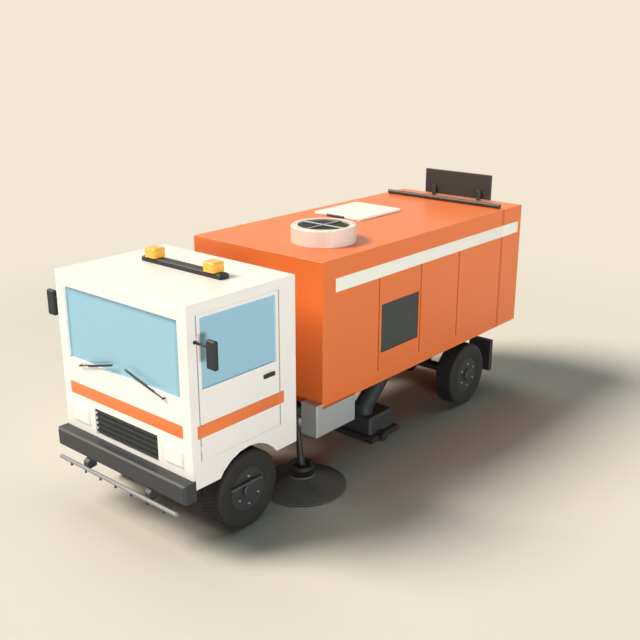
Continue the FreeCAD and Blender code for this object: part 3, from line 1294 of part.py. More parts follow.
def broom_arm():
    """Swing arm: leaning pivot barrel, level arm, tapered drop leg and the broom's dish."""
    axis = swing_axis()
    pivot = V(BROOM_PIVOT_X, BROOM_PIVOT, BROOM_PIVOT_Z)
    barrel = rod(pivot - V(axis).multiply(PIVOT_HALF), pivot + V(axis).multiply(PIVOT_HALF), PIVOT_R)
    knee = V(LEG_TOP_X, LEG_TOP_Y, LEG_TOP_Z)
    arm = rod(pivot, knee, ARM_HALF)
    joint = rod(knee - V(0, 0, KNEE_R), knee + V(0, 0, KNEE_R), KNEE_R)
    foot = V(BROOM_X, BROOM_Y, MOTOR_LOW)
    ankle = foot + V(0, 0, DISH_FLOOR - 10)
    drop = ankle.sub(knee)
    leg = Part.makeCone(LEG_TOP_R, LEG_FOOT_R, drop.Length, knee, drop)
    dish = turned([(0, 0), (0, DISH_FOOT_R), (DISH_WAIST, DISH_R), (DISH_HEIGHT, DISH_R),
                   (DISH_HEIGHT, DISH_R - DISH_RIM), (DISH_FLOOR, DISH_FOOT_R - DISH_RIM),
                   (DISH_FLOOR, 0)], foot, Z_AXIS)
    shaft = Part.makeCylinder(BROOM_SHAFT_R, MOTOR_LOW - (BRISTLE_TOP - 50),
                              V(BROOM_X, BROOM_Y, BRISTLE_TOP - 50))
    whole = fused([barrel, arm, joint, leg, dish, shaft])
    return whole.cut(rod(pivot - V(axis).multiply(PIVOT_HALF + 1),
                         pivot + V(axis).multiply(PIVOT_HALF + 1), PIVOT_PIN_R + FIT_GAP))


def broom_bracket():
    """Clevis on the side rail with the leaning swing pin."""
    axis = swing_axis()
    pivot = V(BROOM_PIVOT_X, BROOM_PIVOT, BROOM_PIVOT_Z)
    gap = PIVOT_HALF + MOVING_GAP
    pieces = [rod(pivot - V(axis).multiply(gap + PIVOT_PLATE), pivot + V(axis).multiply(gap + PIVOT_PLATE),
                  PIVOT_PIN_R)]
    reach = BROOM_PIVOT_X - RAIL_OUT
    for low in (-gap - PIVOT_PLATE, gap):
        cheek = Part.makeCylinder(PIVOT_R - 4, PIVOT_PLATE, V(0, 0, low))
        tongue = Part.makeBox(reach + 70, 2 * (PIVOT_R - 4), PIVOT_PLATE,
                              V(-reach - 70, -(PIVOT_R - 4), low))
        plate = cheek.fuse(tongue)
        turn = FreeCAD.Rotation(Z_AXIS, axis)
        plate.Placement = FreeCAD.Placement(pivot, turn)
        pieces.append(plate)
    whole = fused(pieces)
    beyond = box(-BROOM_PIVOT_X, RAIL_OUT - RAIL_SHEET / 2, BROOM_PIVOT - 500, BROOM_PIVOT + 500,
                 BROOM_PIVOT_Z - 500, BROOM_PIVOT_Z + 500)
    return whole.cut(beyond)


save("broom_left", [broom()])
save("broom_right", [other_side(broom())])
save("broom_arm_left", [broom_arm()])
save("broom_arm_right", [other_side(broom_arm())])


# ---------------------------------------------------------------- suction mouths

HOOD_IN = 205.0
HOOD_OUT = 860.0
HOOD_BEHIND_FRONT = 1490.0          # hood behind the hopper's front
HOOD_LENGTH = 598.0
HOOD_FRONT = HOPPER_FRONT + HOOD_BEHIND_FRONT
HOOD_REAR = HOOD_FRONT + HOOD_LENGTH
HOOD_LOW = 84.0
HOOD_TOP = 352.0
HOOD_WALL = 12.0
HOOD_BEVEL = 36.0
SKIRT_OUT = 22.0            # skirt past the hood's inner side and rear
SKIRT_SIDE = 95.0           # skirt past the hood's outer side
SKIRT_AHEAD = 87.0          # skirt ahead of the hood's front
SKIRT_BEVEL = 18.0
SKIRT_THICK = 16.0
SKIRT_LOW = 8.0
SKIRT_LAP = 14.0
HOSE_X = 612.0
HOSE_R = 140.0
HOSE_WALL = 10.0
HOSE_SETBACK = 150.0                # hose's foot behind the hood's front
HOSE_RUN = 580.0                    # how far the hose leans back
HOSE_FOOT = HOOD_FRONT + HOSE_SETBACK
HOSE_KNEE_Z = 450.0
HOSE_HEAD = HOSE_FOOT + HOSE_RUN
HOSE_HEAD_Z = 985.0
ROLLER_R = 65.0
ROLLER_WIDTH = 50.0
ROLLER_CHEEK = 10.0
ROLLER_ARM_UP = 6.0         # roller's arm over the skirt's top
ROLLER_ARM_THICK = 26.0
ROLLER_ARM_HALF = 26.0
ROLLER_PIN_R = 12.0
ROLLER_SETBACK = 155.0
HANGER_SETBACK = 500.0
ROLLER_Y = HOOD_FRONT + ROLLER_SETBACK
ROLLER_CHEEK_X = HOOD_OUT + SKIRT_SIDE + MOVING_GAP
ROLLER_X = ROLLER_CHEEK_X + ROLLER_CHEEK + MOVING_GAP
HANGER_Y = HOOD_FRONT + HANGER_SETBACK


def suction_hood():
    """Bevelled pickup hood, open below, with an arm over the skirt that holds a roller's stub."""
    hood = box(HOOD_IN, HOOD_OUT, HOOD_FRONT, HOOD_REAR, HOOD_LOW, HOOD_TOP)
    hood = chamfered(hood, HOOD_BEVEL, lambda e: e.BoundBox.ZMax > HOOD_LOW + 1)
    hollow = box(HOOD_IN + 2 * HOOD_WALL, HOOD_OUT - 2 * HOOD_WALL, HOOD_FRONT + 2 * HOOD_WALL,
                 HOOD_REAR - 2 * HOOD_WALL, HOOD_LOW - 1, HOOD_TOP - HOOD_BEVEL)
    arm_low = HOOD_LOW + ROLLER_ARM_UP
    arm_high = arm_low + ROLLER_ARM_THICK
    arm = box(HOOD_OUT - HOOD_WALL, ROLLER_CHEEK_X + ROLLER_CHEEK, ROLLER_Y - ROLLER_ARM_HALF,
              ROLLER_Y + ROLLER_ARM_HALF, arm_low, arm_high)
    cheek = box(ROLLER_CHEEK_X, ROLLER_CHEEK_X + ROLLER_CHEEK, ROLLER_Y - ROLLER_ARM_HALF,
                ROLLER_Y + ROLLER_ARM_HALF, ROLLER_R - ROLLER_ARM_HALF, arm_high)
    stub = rod(V(ROLLER_CHEEK_X, ROLLER_Y, ROLLER_R + 1),
               V(ROLLER_X + ROLLER_WIDTH + MOVING_GAP, ROLLER_Y, ROLLER_R + 1), ROLLER_PIN_R)
    return fused([hood.cut(hollow), arm, cheek, stub])


def hood_hanger():
    """Drop arm from a side rail to the hood's top."""
    return box(RAIL_OUT - 70, RAIL_OUT - 10, HANGER_Y - 25, HANGER_Y + 25, HOOD_TOP,
               RAIL_BOTTOM + 1)


def suction_skirt():
    """Shallow rubber tray turned down round the hood's foot, with a mouth under the hood."""
    ring = box(HOOD_IN - SKIRT_OUT, HOOD_OUT + SKIRT_SIDE, HOOD_FRONT - SKIRT_AHEAD,
               HOOD_REAR + SKIRT_OUT, SKIRT_LOW, HOOD_LOW)
    ring = chamfered(ring, SKIRT_BEVEL, lambda e: e.BoundBox.ZMin > HOOD_LOW - 1)
    hole = box(HOOD_IN - SKIRT_OUT + SKIRT_THICK, HOOD_OUT + SKIRT_SIDE - SKIRT_THICK,
               HOOD_FRONT - SKIRT_AHEAD + SKIRT_THICK, HOOD_REAR + SKIRT_OUT - SKIRT_THICK,
               SKIRT_LOW - 1, HOOD_LOW - SKIRT_LAP)
    mouth = box(HOOD_IN + 30, HOOD_OUT - 30, HOOD_FRONT + 30, HOOD_REAR - 30, HOOD_LOW - SKIRT_LAP - 1,
                HOOD_LOW + 1)
    return cut_all(ring, [hole, mouth])


def mitred(start, end, cut_start, cut_end):
    """Run of hose between two knees, its ends cut along the planes given by their normals."""
    along = end.sub(start).normalize()
    run = rod(start - V(along).multiply(HOSE_R), end + V(along).multiply(HOSE_R), HOSE_R)
    for place, normal in ((start, -cut_start), (end, cut_end)):
        slab = Part.makeBox(4 * HOSE_R, 4 * HOSE_R, 4 * HOSE_R, V(-2 * HOSE_R, -2 * HOSE_R, 0))
        slab.Placement = FreeCAD.Placement(place, FreeCAD.Rotation(Z_AXIS, normal))
        run = run.cut(slab)
    return run


def suction_hose():
    """Suction trunk from the hood up to the hopper's floor, mitred at its two knees."""
    corners = [V(HOSE_X, HOSE_FOOT, HOOD_TOP), V(HOSE_X, HOSE_FOOT, HOSE_KNEE_Z),
               V(HOSE_X, HOSE_HEAD, HOSE_HEAD_Z), V(HOSE_X, HOSE_HEAD, HOPPER_BOTTOM - MOVING_GAP)]
    runs = [b.sub(a).normalize() for a, b in zip(corners, corners[1:])]
    knees = [(a + b).normalize() for a, b in zip(runs, runs[1:])]
    planes = [Z_AXIS] + knees + [Z_AXIS]
    pieces = []
    for number in range(len(runs)):
        pieces.append(mitred(corners[number], corners[number + 1], planes[number],
                             planes[number + 1]))
    return fused(pieces)


def roller():
    """Small caster roller on its stub."""
    centre = V(ROLLER_X, ROLLER_Y, ROLLER_R + 1)
    return turned([(0, ROLLER_PIN_R + FIT_GAP), (0, ROLLER_R), (ROLLER_WIDTH - 8, ROLLER_R),
                   (ROLLER_WIDTH, ROLLER_R - 8), (ROLLER_WIDTH, ROLLER_PIN_R + FIT_GAP)], centre,
                  X_AXIS)


save("suction_hoods", both_sides(suction_hood()))
save("suction_skirts", both_sides(suction_skirt()))
save("suction_hoses", both_sides(suction_hose()))
save("roller_left", [roller()])
save("roller_right", [other_side(roller())])


# ---------------------------------------------------------------- rear bar and lamps

FLAP_WIDTH = 403.0
FLAP_OUT = WHEEL_FACE_X - 10.0
FLAP_IN = FLAP_OUT - FLAP_WIDTH
FLAP_BEHIND_AXLE = 690.0
FLAP_Y = REAR_AXLE + FLAP_BEHIND_AXLE
FLAP_THICK = 92.0
FLAP_BOTTOM = 368.0
FLAP_TOP = 900.0
REAR_BAR_FROM_SIDE = 50.0
REAR_BAR_HALF = HOPPER_HALF - REAR_BAR_FROM_SIDE
REAR_BAR_LOW = 560.0
REAR_BAR_HIGH = 680.0
REAR_BAR_DEPTH = 60.0
DROP_HALF = 30.0
LAMP_WIDTH = 260.0
TAIL_LAMP_IN = 220.0        # lamp's middle in from the bar's end
TAIL_LAMP_X = REAR_BAR_HALF - TAIL_LAMP_IN
TAIL_LAMP_DEPTH = 26.0


def rear_bar():
    """Underrun bar on two drop legs, with a mudguard plate ahead of each end."""
    bar_front = FLAP_Y + FLAP_THICK
    bar = box(-REAR_BAR_HALF, REAR_BAR_HALF, bar_front, bar_front + REAR_BAR_DEPTH, REAR_BAR_LOW,
              REAR_BAR_HIGH)
    flap = box(FLAP_IN, FLAP_OUT, FLAP_Y, bar_front, FLAP_BOTTOM, FLAP_TOP)
    drop = box(RAIL_OUT - 2 * DROP_HALF, RAIL_OUT, RAIL_END - 60, RAIL_END, REAR_BAR_HIGH - 60,
               RAIL_BOTTOM)
    link = box(RAIL_OUT - 2 * DROP_HALF, RAIL_OUT, RAIL_END - 60, bar_front + 10,
               REAR_BAR_HIGH - 60, REAR_BAR_HIGH)
    return fused([bar] + both_sides(flap) + both_sides(drop) + both_sides(link))


def tail_lamp():
    rear = FLAP_Y + FLAP_THICK + REAR_BAR_DEPTH
    return box(TAIL_LAMP_X - LAMP_WIDTH / 2, TAIL_LAMP_X + LAMP_WIDTH / 2, rear,
               rear + TAIL_LAMP_DEPTH, REAR_BAR_LOW + 10, REAR_BAR_HIGH - 10)


save("rear_bar", [rear_bar()])
save("tail_lamps", both_sides(tail_lamp()))


# ---------------------------------------------------------------- the frame that carries it all

CAB_MOUNTS = [330.0, 1650.0]        # cab mounts behind the cab's front


def cab_mounts():
    """Blocks between the side rails and the cab's floor."""
    blocks = []
    for behind in CAB_MOUNTS:
        y = CAB_FRONT + behind
        blocks.append(box(RAIL_OUT - 70, RAIL_OUT, y, y + 80, RAIL_TOP,
                          CAB_FLOOR_TOP - CAB_FLOOR_THICK))
    return blocks


frame = [chassis_frame()]
for piece in locker_arms() + cab_mounts() + [hood_hanger(), broom_bracket()]:
    frame += both_sides(piece)
save("chassis_frame", [fused(frame)])
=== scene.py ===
"""Street sweeper truck: paint, glass, tyres, seats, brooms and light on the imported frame."""
import json
import math

import bmesh
import bpy
from mathutils import Matrix, Vector


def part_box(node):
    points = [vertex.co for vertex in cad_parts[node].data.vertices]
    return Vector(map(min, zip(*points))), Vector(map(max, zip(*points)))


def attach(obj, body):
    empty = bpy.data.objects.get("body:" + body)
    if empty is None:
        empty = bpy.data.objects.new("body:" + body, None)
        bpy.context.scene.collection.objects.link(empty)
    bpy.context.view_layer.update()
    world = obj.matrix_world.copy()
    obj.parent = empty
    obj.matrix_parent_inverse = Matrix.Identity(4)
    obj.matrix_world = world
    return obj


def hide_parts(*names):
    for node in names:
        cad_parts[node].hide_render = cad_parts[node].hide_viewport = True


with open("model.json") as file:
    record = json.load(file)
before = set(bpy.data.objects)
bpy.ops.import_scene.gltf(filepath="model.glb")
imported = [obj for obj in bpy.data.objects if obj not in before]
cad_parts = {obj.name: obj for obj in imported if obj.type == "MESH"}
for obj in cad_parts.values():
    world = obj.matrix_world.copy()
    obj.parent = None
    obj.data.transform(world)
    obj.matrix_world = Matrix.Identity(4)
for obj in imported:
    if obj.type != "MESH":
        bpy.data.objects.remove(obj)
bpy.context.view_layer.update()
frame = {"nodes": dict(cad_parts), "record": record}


# ==== Side rails, axles and driveline
# Rolled channel rails, forged axles and cast housings, painted black before the body goes on.
# The edges are broken by hand, the paint is slightly uneven, and road dust settles low down.

class Tone:
    """One socket in a node tree. Sums of tones add Math nodes, add() places any other node."""

    def __init__(self, tree, socket):
        self.tree = tree
        self.socket = socket

    def add(self, kind, settings=None, values=None, out=0):
        node = self.tree.nodes.new(kind)
        for name, value in (settings or {}).items():
            setattr(node, name, value)
        for name, value in (values or {}).items():
            if isinstance(value, Tone):
                self.tree.links.new(value.socket, node.inputs[name])
            else:
                node.inputs[name].default_value = value
        return Tone(self.tree, node.outputs[out])

    def feed(self, node, name):
        self.tree.links.new(self.socket, node.inputs[name])

    def sum(self, operation, first, second):
        return self.add("ShaderNodeMath", {"operation": operation}, {0: first, 1: second})

    def __add__(self, other):
        return self.sum("ADD", self, other)

    def __rsub__(self, other):
        return self.sum("SUBTRACT", other, self)

    def __mul__(self, other):
        return self.sum("MULTIPLY", self, other)

    __radd__ = __add__
    __rmul__ = __mul__

    def between(self, low, high):
        """0 at low, 1 at high, held outside them."""
        return self.add("ShaderNodeMapRange", {"clamp": True},
                        {"Value": self, "From Min": low, "From Max": high})

    def colour(self, first, second):
        """A colour from first to second by this share."""
        return self.add("ShaderNodeMix", {"data_type": "RGBA"}, {0: self, 6: first, 7: second}, 2)

    def noise(self, scale, detail=3.0):
        return self.add("ShaderNodeTexNoise", {},
                        {"Vector": self, "Scale": scale, "Detail": detail})

    def part(self, axis):
        """One of the three parts of a place."""
        return self.add("ShaderNodeSeparateXYZ", {}, {0: self}, axis)


def new_finish(name, **fixed):
    """A material, its shader with the values that are the same all over, and the place on it."""
    material = bpy.data.materials.new(name)
    material.use_nodes = True
    tree = material.node_tree
    shader = tree.nodes["Principled BSDF"]
    for socket, value in fixed.items():
        shader.inputs[socket.replace("_", " ")].default_value = value
    place = tree.nodes.new("ShaderNodeTexCoord")
    return material, shader, Tone(tree, place.outputs["Object"])


def rough_surface(shader, height, strength, distance):
    """Bump from a height."""
    height.add("ShaderNodeBump", {}, {"Height": height, "Strength": strength,
                                      "Distance": distance}).feed(shader, "Normal")


DUST = (0.30, 0.26, 0.21, 1)
DUST_FULL = 0.15            # height at which the dust lies thickest
DUST_NONE = 1.25            # and above which there is none


def painted(name, colour, roughness, dusty, coat=0.0):
    """Sprayed steel: faint clouds in the colour, orange peel, dust that thins out upwards."""
    material, shader, place = new_finish(name, Coat_Weight=coat, Coat_Roughness=0.12)
    clouds = place.noise(1.3, 2.0)
    specks = place.noise(46.0, 4.0)
    low_down = 1 - place.part(2).between(DUST_FULL, DUST_NONE)
    dust = low_down * (clouds * 0.6 + specks * 0.5) * dusty
    deep = tuple(part * 0.965 for part in colour) + (1,)
    pale = tuple(min(part * 1.03, 1) for part in colour) + (1,)
    dust.colour(clouds.colour(deep, pale), DUST).feed(shader, "Base Color")
    (specks * 0.07 + dust * 0.5 + roughness).feed(shader, "Roughness")
    rough_surface(shader, place.noise(210.0, 1.0), 0.05, 0.001)
    return material


SOFT_TURN = math.radians(32)    # a fold up to this angle is shaded smooth
bodies = {node: body for body, nodes in frame["record"]["behaviour"]["bodies"].items()
          for node in nodes}


def show(name, mesh, finish, body):
    """A piece from its mesh: linked, finished, and riding on its body."""
    piece = bpy.data.objects.new(name, mesh)
    bpy.context.scene.collection.objects.link(piece)
    if finish is not None:
        mesh.materials.clear()
        mesh.materials.append(finish)
    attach(piece, body)
    return piece


def from_bmesh(name, shape):
    """A mesh with its faces outwards, smooth but for its sharp edges."""
    mesh = bpy.data.meshes.new(name)
    shape.to_mesh(mesh)
    shape.free()
    for face in mesh.polygons:
        face.use_smooth = True
    mesh.set_sharp_from_angle(angle=SOFT_TURN)
    return mesh


SLIVER = 0.04               # a face smaller than this share of its neighbour doesn't tilt it


def level_normals(mesh):
    """Flat faces stay level beside broken edges; facets of a round form still blend."""
    around = [[] for corner in mesh.vertices]
    for face in mesh.polygons:
        for corner in face.vertices:
            around[corner].append((face.area, face.normal.copy()))
    blended = []
    near = math.cos(SOFT_TURN)
    for face in mesh.polygons:
        for corner in face.vertices:
            total = Vector((0, 0, 0))
            for area, normal in around[corner]:
                if area >= SLIVER * face.area and normal.dot(face.normal) > near:
                    total += normal * area
            blended.append(total.normalized() if total.length > 0 else face.normal.copy())
    mesh.normals_split_custom_set(blended)


SAME_CORNER = 0.00002       # corners closer than this are one
FLAT_TURN = math.radians(0.6)
EDGE_SPANS = 3              # an edge shorter than this many widths stays sharp


def eased(node, finish, width=0.0, spare=None):
    """The solid of a node with merged corners and broken edges, shown in its place."""
    shape = bmesh.new()
    shape.from_mesh(frame["nodes"][node].data)
    bmesh.ops.remove_doubles(shape, verts=shape.verts, dist=SAME_CORNER)
    bmesh.ops.dissolve_limit(shape, angle_limit=FLAT_TURN, verts=shape.verts, edges=shape.edges)
    weight = shape.edges.layers.float.new("bevel_weight_edge")
    for edge in shape.edges:
        sharp = len(edge.link_faces) == 2 and edge.calc_face_angle() > SOFT_TURN
        long_enough = edge.calc_length() > EDGE_SPANS * width
        ease = bool(sharp and width and long_enough and not (spare and spare(edge)))
        edge[weight] = 1.0 if ease else 0.0
        edge.smooth = ease or not sharp
    mesh = bpy.data.meshes.new(node)
    shape.to_mesh(mesh)
    shape.free()
    for face in mesh.polygons:
        face.use_smooth = True
    draft = bpy.data.objects.new(node + "_draft", mesh)
    bpy.context.scene.collection.objects.link(draft)
    if width:
        edges = draft.modifiers.new("broken edges", "BEVEL")
        edges.limit_method = "WEIGHT"
        edges.width = width
        edges.segments = 2
    ready = draft.evaluated_get(bpy.context.evaluated_depsgraph_get())
    plain = bpy.data.meshes.new_from_object(ready)
    bpy.data.objects.remove(draft)
    level_normals(plain)
    piece = show(node + "_dressed", plain, finish, bodies[node])
    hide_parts(node)
    return piece


def second_finish(piece, finish, chosen):
    """Gives another finish to the faces whose middle is chosen."""
    piece.data.materials.append(finish)
    for face in piece.data.polygons:
        if chosen(face.center):
            face.material_index = 1


frame_black = painted("frame black", (0.014, 0.015, 0.017), 0.5, 0.05)
cast_grey = painted("cast grey", (0.030, 0.030, 0.032), 0.62, 0.08)
eased("chassis_frame", frame_black, 0.0015)
eased("rear_bar", frame_black, 0.003)
eased("cab_floor", frame_black, 0.002)
eased("tipping_lugs", frame_black, 0.003)
for node in ("front_axle", "rear_axle", "driveline", "knuckle_left", "knuckle_right"):
    eased(node, cast_grey, 0.003)

RAIL_FACE = 0.434           # outer face of a side rail from the middle
RAIL_BOLT = 0.013
RAIL_BOLT_HEIGHT = 0.011
RAIL_BOLT_PITCH = 0.26
RAIL_BOLT_START = 0.22      # first bolt behind the rail's front end
RAIL_BOLT_ROWS = (0.90, 1.065)


def sized_tree(name, sizes):
    """A geometry tree with one named input for each size: its inputs as tones, and its end."""
    tree = bpy.data.node_groups.new(name, "GeometryNodeTree")
    for label, kind in sizes.items():
        tree.interface.new_socket(label, in_out="INPUT", socket_type="NodeSocket" + kind)
    tree.interface.new_socket("Made", in_out="OUTPUT", socket_type="NodeSocketGeometry")
    given = tree.nodes.new("NodeGroupInput")
    inputs = {label: Tone(tree, given.outputs[label]) for label in sizes}
    return tree, inputs, tree.nodes.new("NodeGroupOutput")


def finish_tree(made, size, end):
    """Turns the instances of a tree into plain mesh with its finish."""
    real = made.add("GeometryNodeRealizeInstances", {}, {0: made})
    real.add("GeometryNodeSetMaterial", {}, {"Geometry": real,
                                             "Material": size["Finish"]}).feed(end, 0)


def grown(name, tree, sizes, places, body):
    """Runs a tree once and shows its result at each place as one piece."""
    host = bpy.data.objects.new(name, bpy.data.meshes.new(name))
    bpy.context.scene.collection.objects.link(host)
    run = host.modifiers.new(name, "NODES")
    run.node_group = tree
    for item in tree.interface.items_tree:
        if item.item_type == "SOCKET" and item.in_out == "INPUT":
            run[item.identifier] = sizes[item.name]
    ready = host.evaluated_get(bpy.context.evaluated_depsgraph_get())
    plain = bpy.data.meshes.new_from_object(ready)
    bpy.data.objects.remove(host)
    shape = bmesh.new()
    for place in places:
        copy = plain.copy()
        copy.transform(place)
        shape.from_mesh(copy)
        bpy.data.meshes.remove(copy)
    return show(name, from_bmesh(name, shape), sizes["Finish"], body)


bolt_row, size, end = sized_tree("bolt_row", {"Count": "Int", "Pitch": "Float", "Bolt": "Float",
                                              "Height": "Float", "Finish": "Material"})
step = size["Pitch"].add("ShaderNodeCombineXYZ", {}, {"X": size["Pitch"]})
line = step.add("GeometryNodeMeshLine", {}, {"Count": size["Count"], "Offset": step})
head = step.add("GeometryNodeMeshCylinder", {}, {"Vertices": 6, "Radius": size["Bolt"],
                                                 "Depth": size["Height"]})
finish_tree(step.add("GeometryNodeInstanceOnPoints", {}, {"Points": line, "Instance": head}),
            size, end)


def facing(origin, along, out):
    """A place whose X runs along and whose Z points out of a surface."""
    x = Vector(along).normalized()
    z = Vector(out).normalized()
    turn = Matrix((x, z.cross(x), z)).transposed()
    return Matrix.Translation(Vector(origin)) @ turn.to_4x4()


low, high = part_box("chassis_frame")
rail_rows = []
for side in (-1, 1):
    for z in RAIL_BOLT_ROWS:
        rail_rows.append(facing((side * RAIL_FACE, low[1] + RAIL_BOLT_START, z), (0, 1, 0),
                                (side, 0, 0)))
grown("rail_bolts", bolt_row, {"Count": int((high[1] - low[1]) / RAIL_BOLT_PITCH),
                               "Pitch": RAIL_BOLT_PITCH, "Bolt": RAIL_BOLT,
                               "Height": RAIL_BOLT_HEIGHT, "Finish": frame_black},
      rail_rows, "chassis")


# ==== Wheels
# Radial truck tyres on dark-sprayed steel rims, each disc held by six bright nuts round a hub cap.
# The tyre is one turned carcass; the tread blocks are laid round it in four staggered columns.

TYRE_PROFILE = [            # across the tyre from its middle, and out from the axle
    (-0.150, 0.288), (-0.1575, 0.305), (-0.159, 0.350), (-0.159, 0.420), (-0.1565, 0.458),
    (-0.149, 0.480), (-0.132, 0.494), (-0.100, 0.4985), (0.0, 0.4995), (0.100, 0.4985),
    (0.132, 0.494), (0.149, 0.480), (0.1565, 0.458), (0.159, 0.420), (0.159, 0.350),
    (0.1575, 0.305), (0.150, 0.288),
]
TYRE_STEPS = 96
TREAD_TOP = 0.5064
TREAD_FOOT = 0.4960
TREAD_COLUMNS = [           # place across the tyre, width, blocks round it, turn in blocks
    (-0.105, 0.046, 56, 0.0), (-0.036, 0.056, 56, 0.5),
    (0.036, 0.056, 56, 0.0), (0.105, 0.046, 56, 0.5),
]
TREAD_FILL = 0.80           # share of the pitch that a block fills
TREAD_SINK = 0.0004
NUTS = 6
NUT_CIRCLE = 0.185
NUT = 0.0135
NUT_HEIGHT = 0.018
NUT_SINK = 0.001            # how deep a nut's foot goes into the disc
DISC_FACE = 0.142           # outer face of the disc from the wheel's middle plane
STEP_FACE = 0.146           # the step bar lies outside this plane
STEP_LOW = 0.098            # and its underside is this far above the axle

tyre_rubber, shader, place = new_finish("tyre rubber", Specular_IOR_Level=0.35)
wear = place.noise(9.0, 4.0)
grain = place.noise(160.0, 2.0)
wear.colour((0.017, 0.017, 0.0175, 1), (0.024, 0.0235, 0.023, 1)).feed(shader, "Base Color")
(grain * 0.12 + wear * 0.1 + 0.62).feed(shader, "Roughness")
rough_surface(shader, grain, 0.25, 0.0006)

rim_paint = painted("rim paint", (0.027, 0.030, 0.033), 0.5, 0.03)
# The step bar is painted lighter than the rim: painted light on a bar whose front lies in shade.
step_painted_light = painted("step painted light", (0.085, 0.088, 0.092), 0.45, 0.02)
bright_nut, shader, place = new_finish("bright nut", Metallic=0.6)
place.noise(80.0).colour((0.62, 0.62, 0.60, 1), (0.80, 0.80, 0.78, 1)).feed(shader, "Base Color")
(place.noise(40.0) * 0.15 + 0.3).feed(shader, "Roughness")


def lathe(profile, centre, steps):
    """A closed profile of (along X, out from the axle) points turned about a wheel's axle."""
    shape = bmesh.new()
    rings = []
    for number in range(steps):
        turn = 2 * math.pi * number / steps
        rings.append([shape.verts.new((centre.x + along, centre.y + out * math.cos(turn),
                                       centre.z + out * math.sin(turn)))
                      for along, out in profile])
    for number in range(steps):
        here = rings[number]
        there = rings[(number + 1) % steps]
        for corner in range(len(profile)):
            after = (corner + 1) % len(profile)
            shape.faces.new((here[corner], here[after], there[after], there[corner]))
    bmesh.ops.recalc_face_normals(shape, faces=shape.faces)
    return shape


tread_ring, size, end = sized_tree("tread_ring", {
    "Blocks": "Int", "Middle": "Float", "Depth": "Float", "Length": "Float", "Width": "Float",
    "Finish": "Material"})
ring = size["Middle"].add("GeometryNodeMeshCircle", {}, {"Vertices": size["Blocks"],
                                                         "Radius": size["Middle"]})
block_size = ring.add("ShaderNodeCombineXYZ", {}, {"X": size["Depth"], "Y": size["Length"],
                                                   "Z": size["Width"]})
block = ring.add("GeometryNodeMeshCube", {}, {"Size": block_size})
outward = ring.add("FunctionNodeAlignRotationToVector", {"axis": "X"},
                   {"Vector": ring.add("GeometryNodeInputPosition")})
finish_tree(ring.add("GeometryNodeInstanceOnPoints", {}, {"Points": ring, "Instance": block,
                                                          "Rotation": outward}), size, end)

nut_ring, size, end = sized_tree("nut_ring", {
    "Count": "Int", "Circle": "Float", "Nut": "Float", "Height": "Float", "Finish": "Material"})
ring = size["Circle"].add("GeometryNodeMeshCircle", {}, {"Vertices": size["Count"],
                                                         "Radius": size["Circle"]})
nut = ring.add("GeometryNodeMeshCylinder", {}, {"Vertices": 6, "Radius": size["Nut"],
                                                "Depth": size["Height"]})
finish_tree(ring.add("GeometryNodeInstanceOnPoints", {}, {"Points": ring, "Instance": nut}),
            size, end)

for ending in ("front_left", "front_right", "rear_left", "rear_right"):
    low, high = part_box("tyre_" + ending)
    centre = (Vector(low) + Vector(high)) / 2
    side = 1 if centre.x > 0 else -1
    body = "wheel_" + ending
    tyre = show("tyre_" + ending + "_carcass",
                from_bmesh("tyre", lathe(TYRE_PROFILE, centre, TYRE_STEPS)),
                tyre_rubber, body)
    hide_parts("tyre_" + ending)
    axle = Matrix.Translation(centre) @ Matrix.Rotation(math.radians(90), 4, "Y")
    for number, (across, width, blocks, turn) in enumerate(TREAD_COLUMNS):
        length = 2 * math.pi * TREAD_TOP / blocks * TREAD_FILL
        place = (axle @ Matrix.Translation((0, 0, across))
                 @ Matrix.Rotation(2 * math.pi * turn / blocks, 4, "Z"))
        grown("tread_%s_%d" % (ending, number), tread_ring,
              {"Blocks": blocks, "Middle": (TREAD_TOP + TREAD_FOOT) / 2 - TREAD_SINK,
               "Depth": TREAD_TOP - TREAD_FOOT, "Length": length, "Width": width,
               "Finish": tyre_rubber}, [place], body)
    rim = eased("rim_" + ending, rim_paint, 0.0025)
    # The front wheels' step bar takes the lighter grey of painted light.
    if ending.startswith("front"):
        second_finish(rim, step_painted_light, lambda middle: (
            side * (middle.x - centre.x) > STEP_FACE and middle.z - centre.z > STEP_LOW))
    disc_face = centre.x + side * (DISC_FACE + NUT_HEIGHT / 2 - NUT_SINK)
    stud_place = (Matrix.Translation((disc_face, centre.y, centre.z))
                  @ Matrix.Rotation(math.radians(90), 4, "Y"))
    grown("nuts_" + ending, nut_ring, {"Count": NUTS, "Circle": NUT_CIRCLE, "Nut": NUT,
                                       "Height": NUT_HEIGHT, "Finish": bright_nut},
          [stud_place], body)


# ==== Cab
# Pressed and welded steel cab, sprayed white with a clear coat; roof skin, walls and doors meet
# at fine seams. An orange band of adhesive film runs round it under the windows.

WHITE = (0.90, 0.87, 0.86)
ORANGE = (0.80, 0.175, 0.034)
cab_white = painted("cab white", WHITE, 0.36, 0.04, 0.2)
SEAM_NEAR = 0.002           # edges this close to a seam's height stay sharp
roof_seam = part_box("cab_shell")[1][2]


def on_roof_seam(edge):
    return all(abs(corner.co.z - roof_seam) < SEAM_NEAR for corner in edge.verts)


eased("cab_shell", cab_white, 0.003, on_roof_seam)
eased("cab_roof", cab_white, 0.003, on_roof_seam)
eased("door_left", cab_white, 0.003)
eased("door_right", cab_white, 0.003)

FILM = 0.0022               # how far a band of film stands off the sheet
FILM_SINK = 0.001           # and how far it reaches into the sheet
FILM_EASE = 0.0006
HAIR = 0.0005               # a band stops this far short of a gap
DOOR_START = 0.147          # door's front edge behind the cab's front
GAP = 0.005                 # between a door and its frame
FILM_LOW = 1.471
FILM_HIGH = 1.630
FILM_FRONT_END = 1.070      # half the length of the band across the front
FILM_SIDE_FRONT = 0.093     # start of the side band behind the cab's front
FILM_SIDE_REAR = 1.511
band_orange = painted("band orange", (0.85, 0.205, 0.052), 0.36, 0.03)


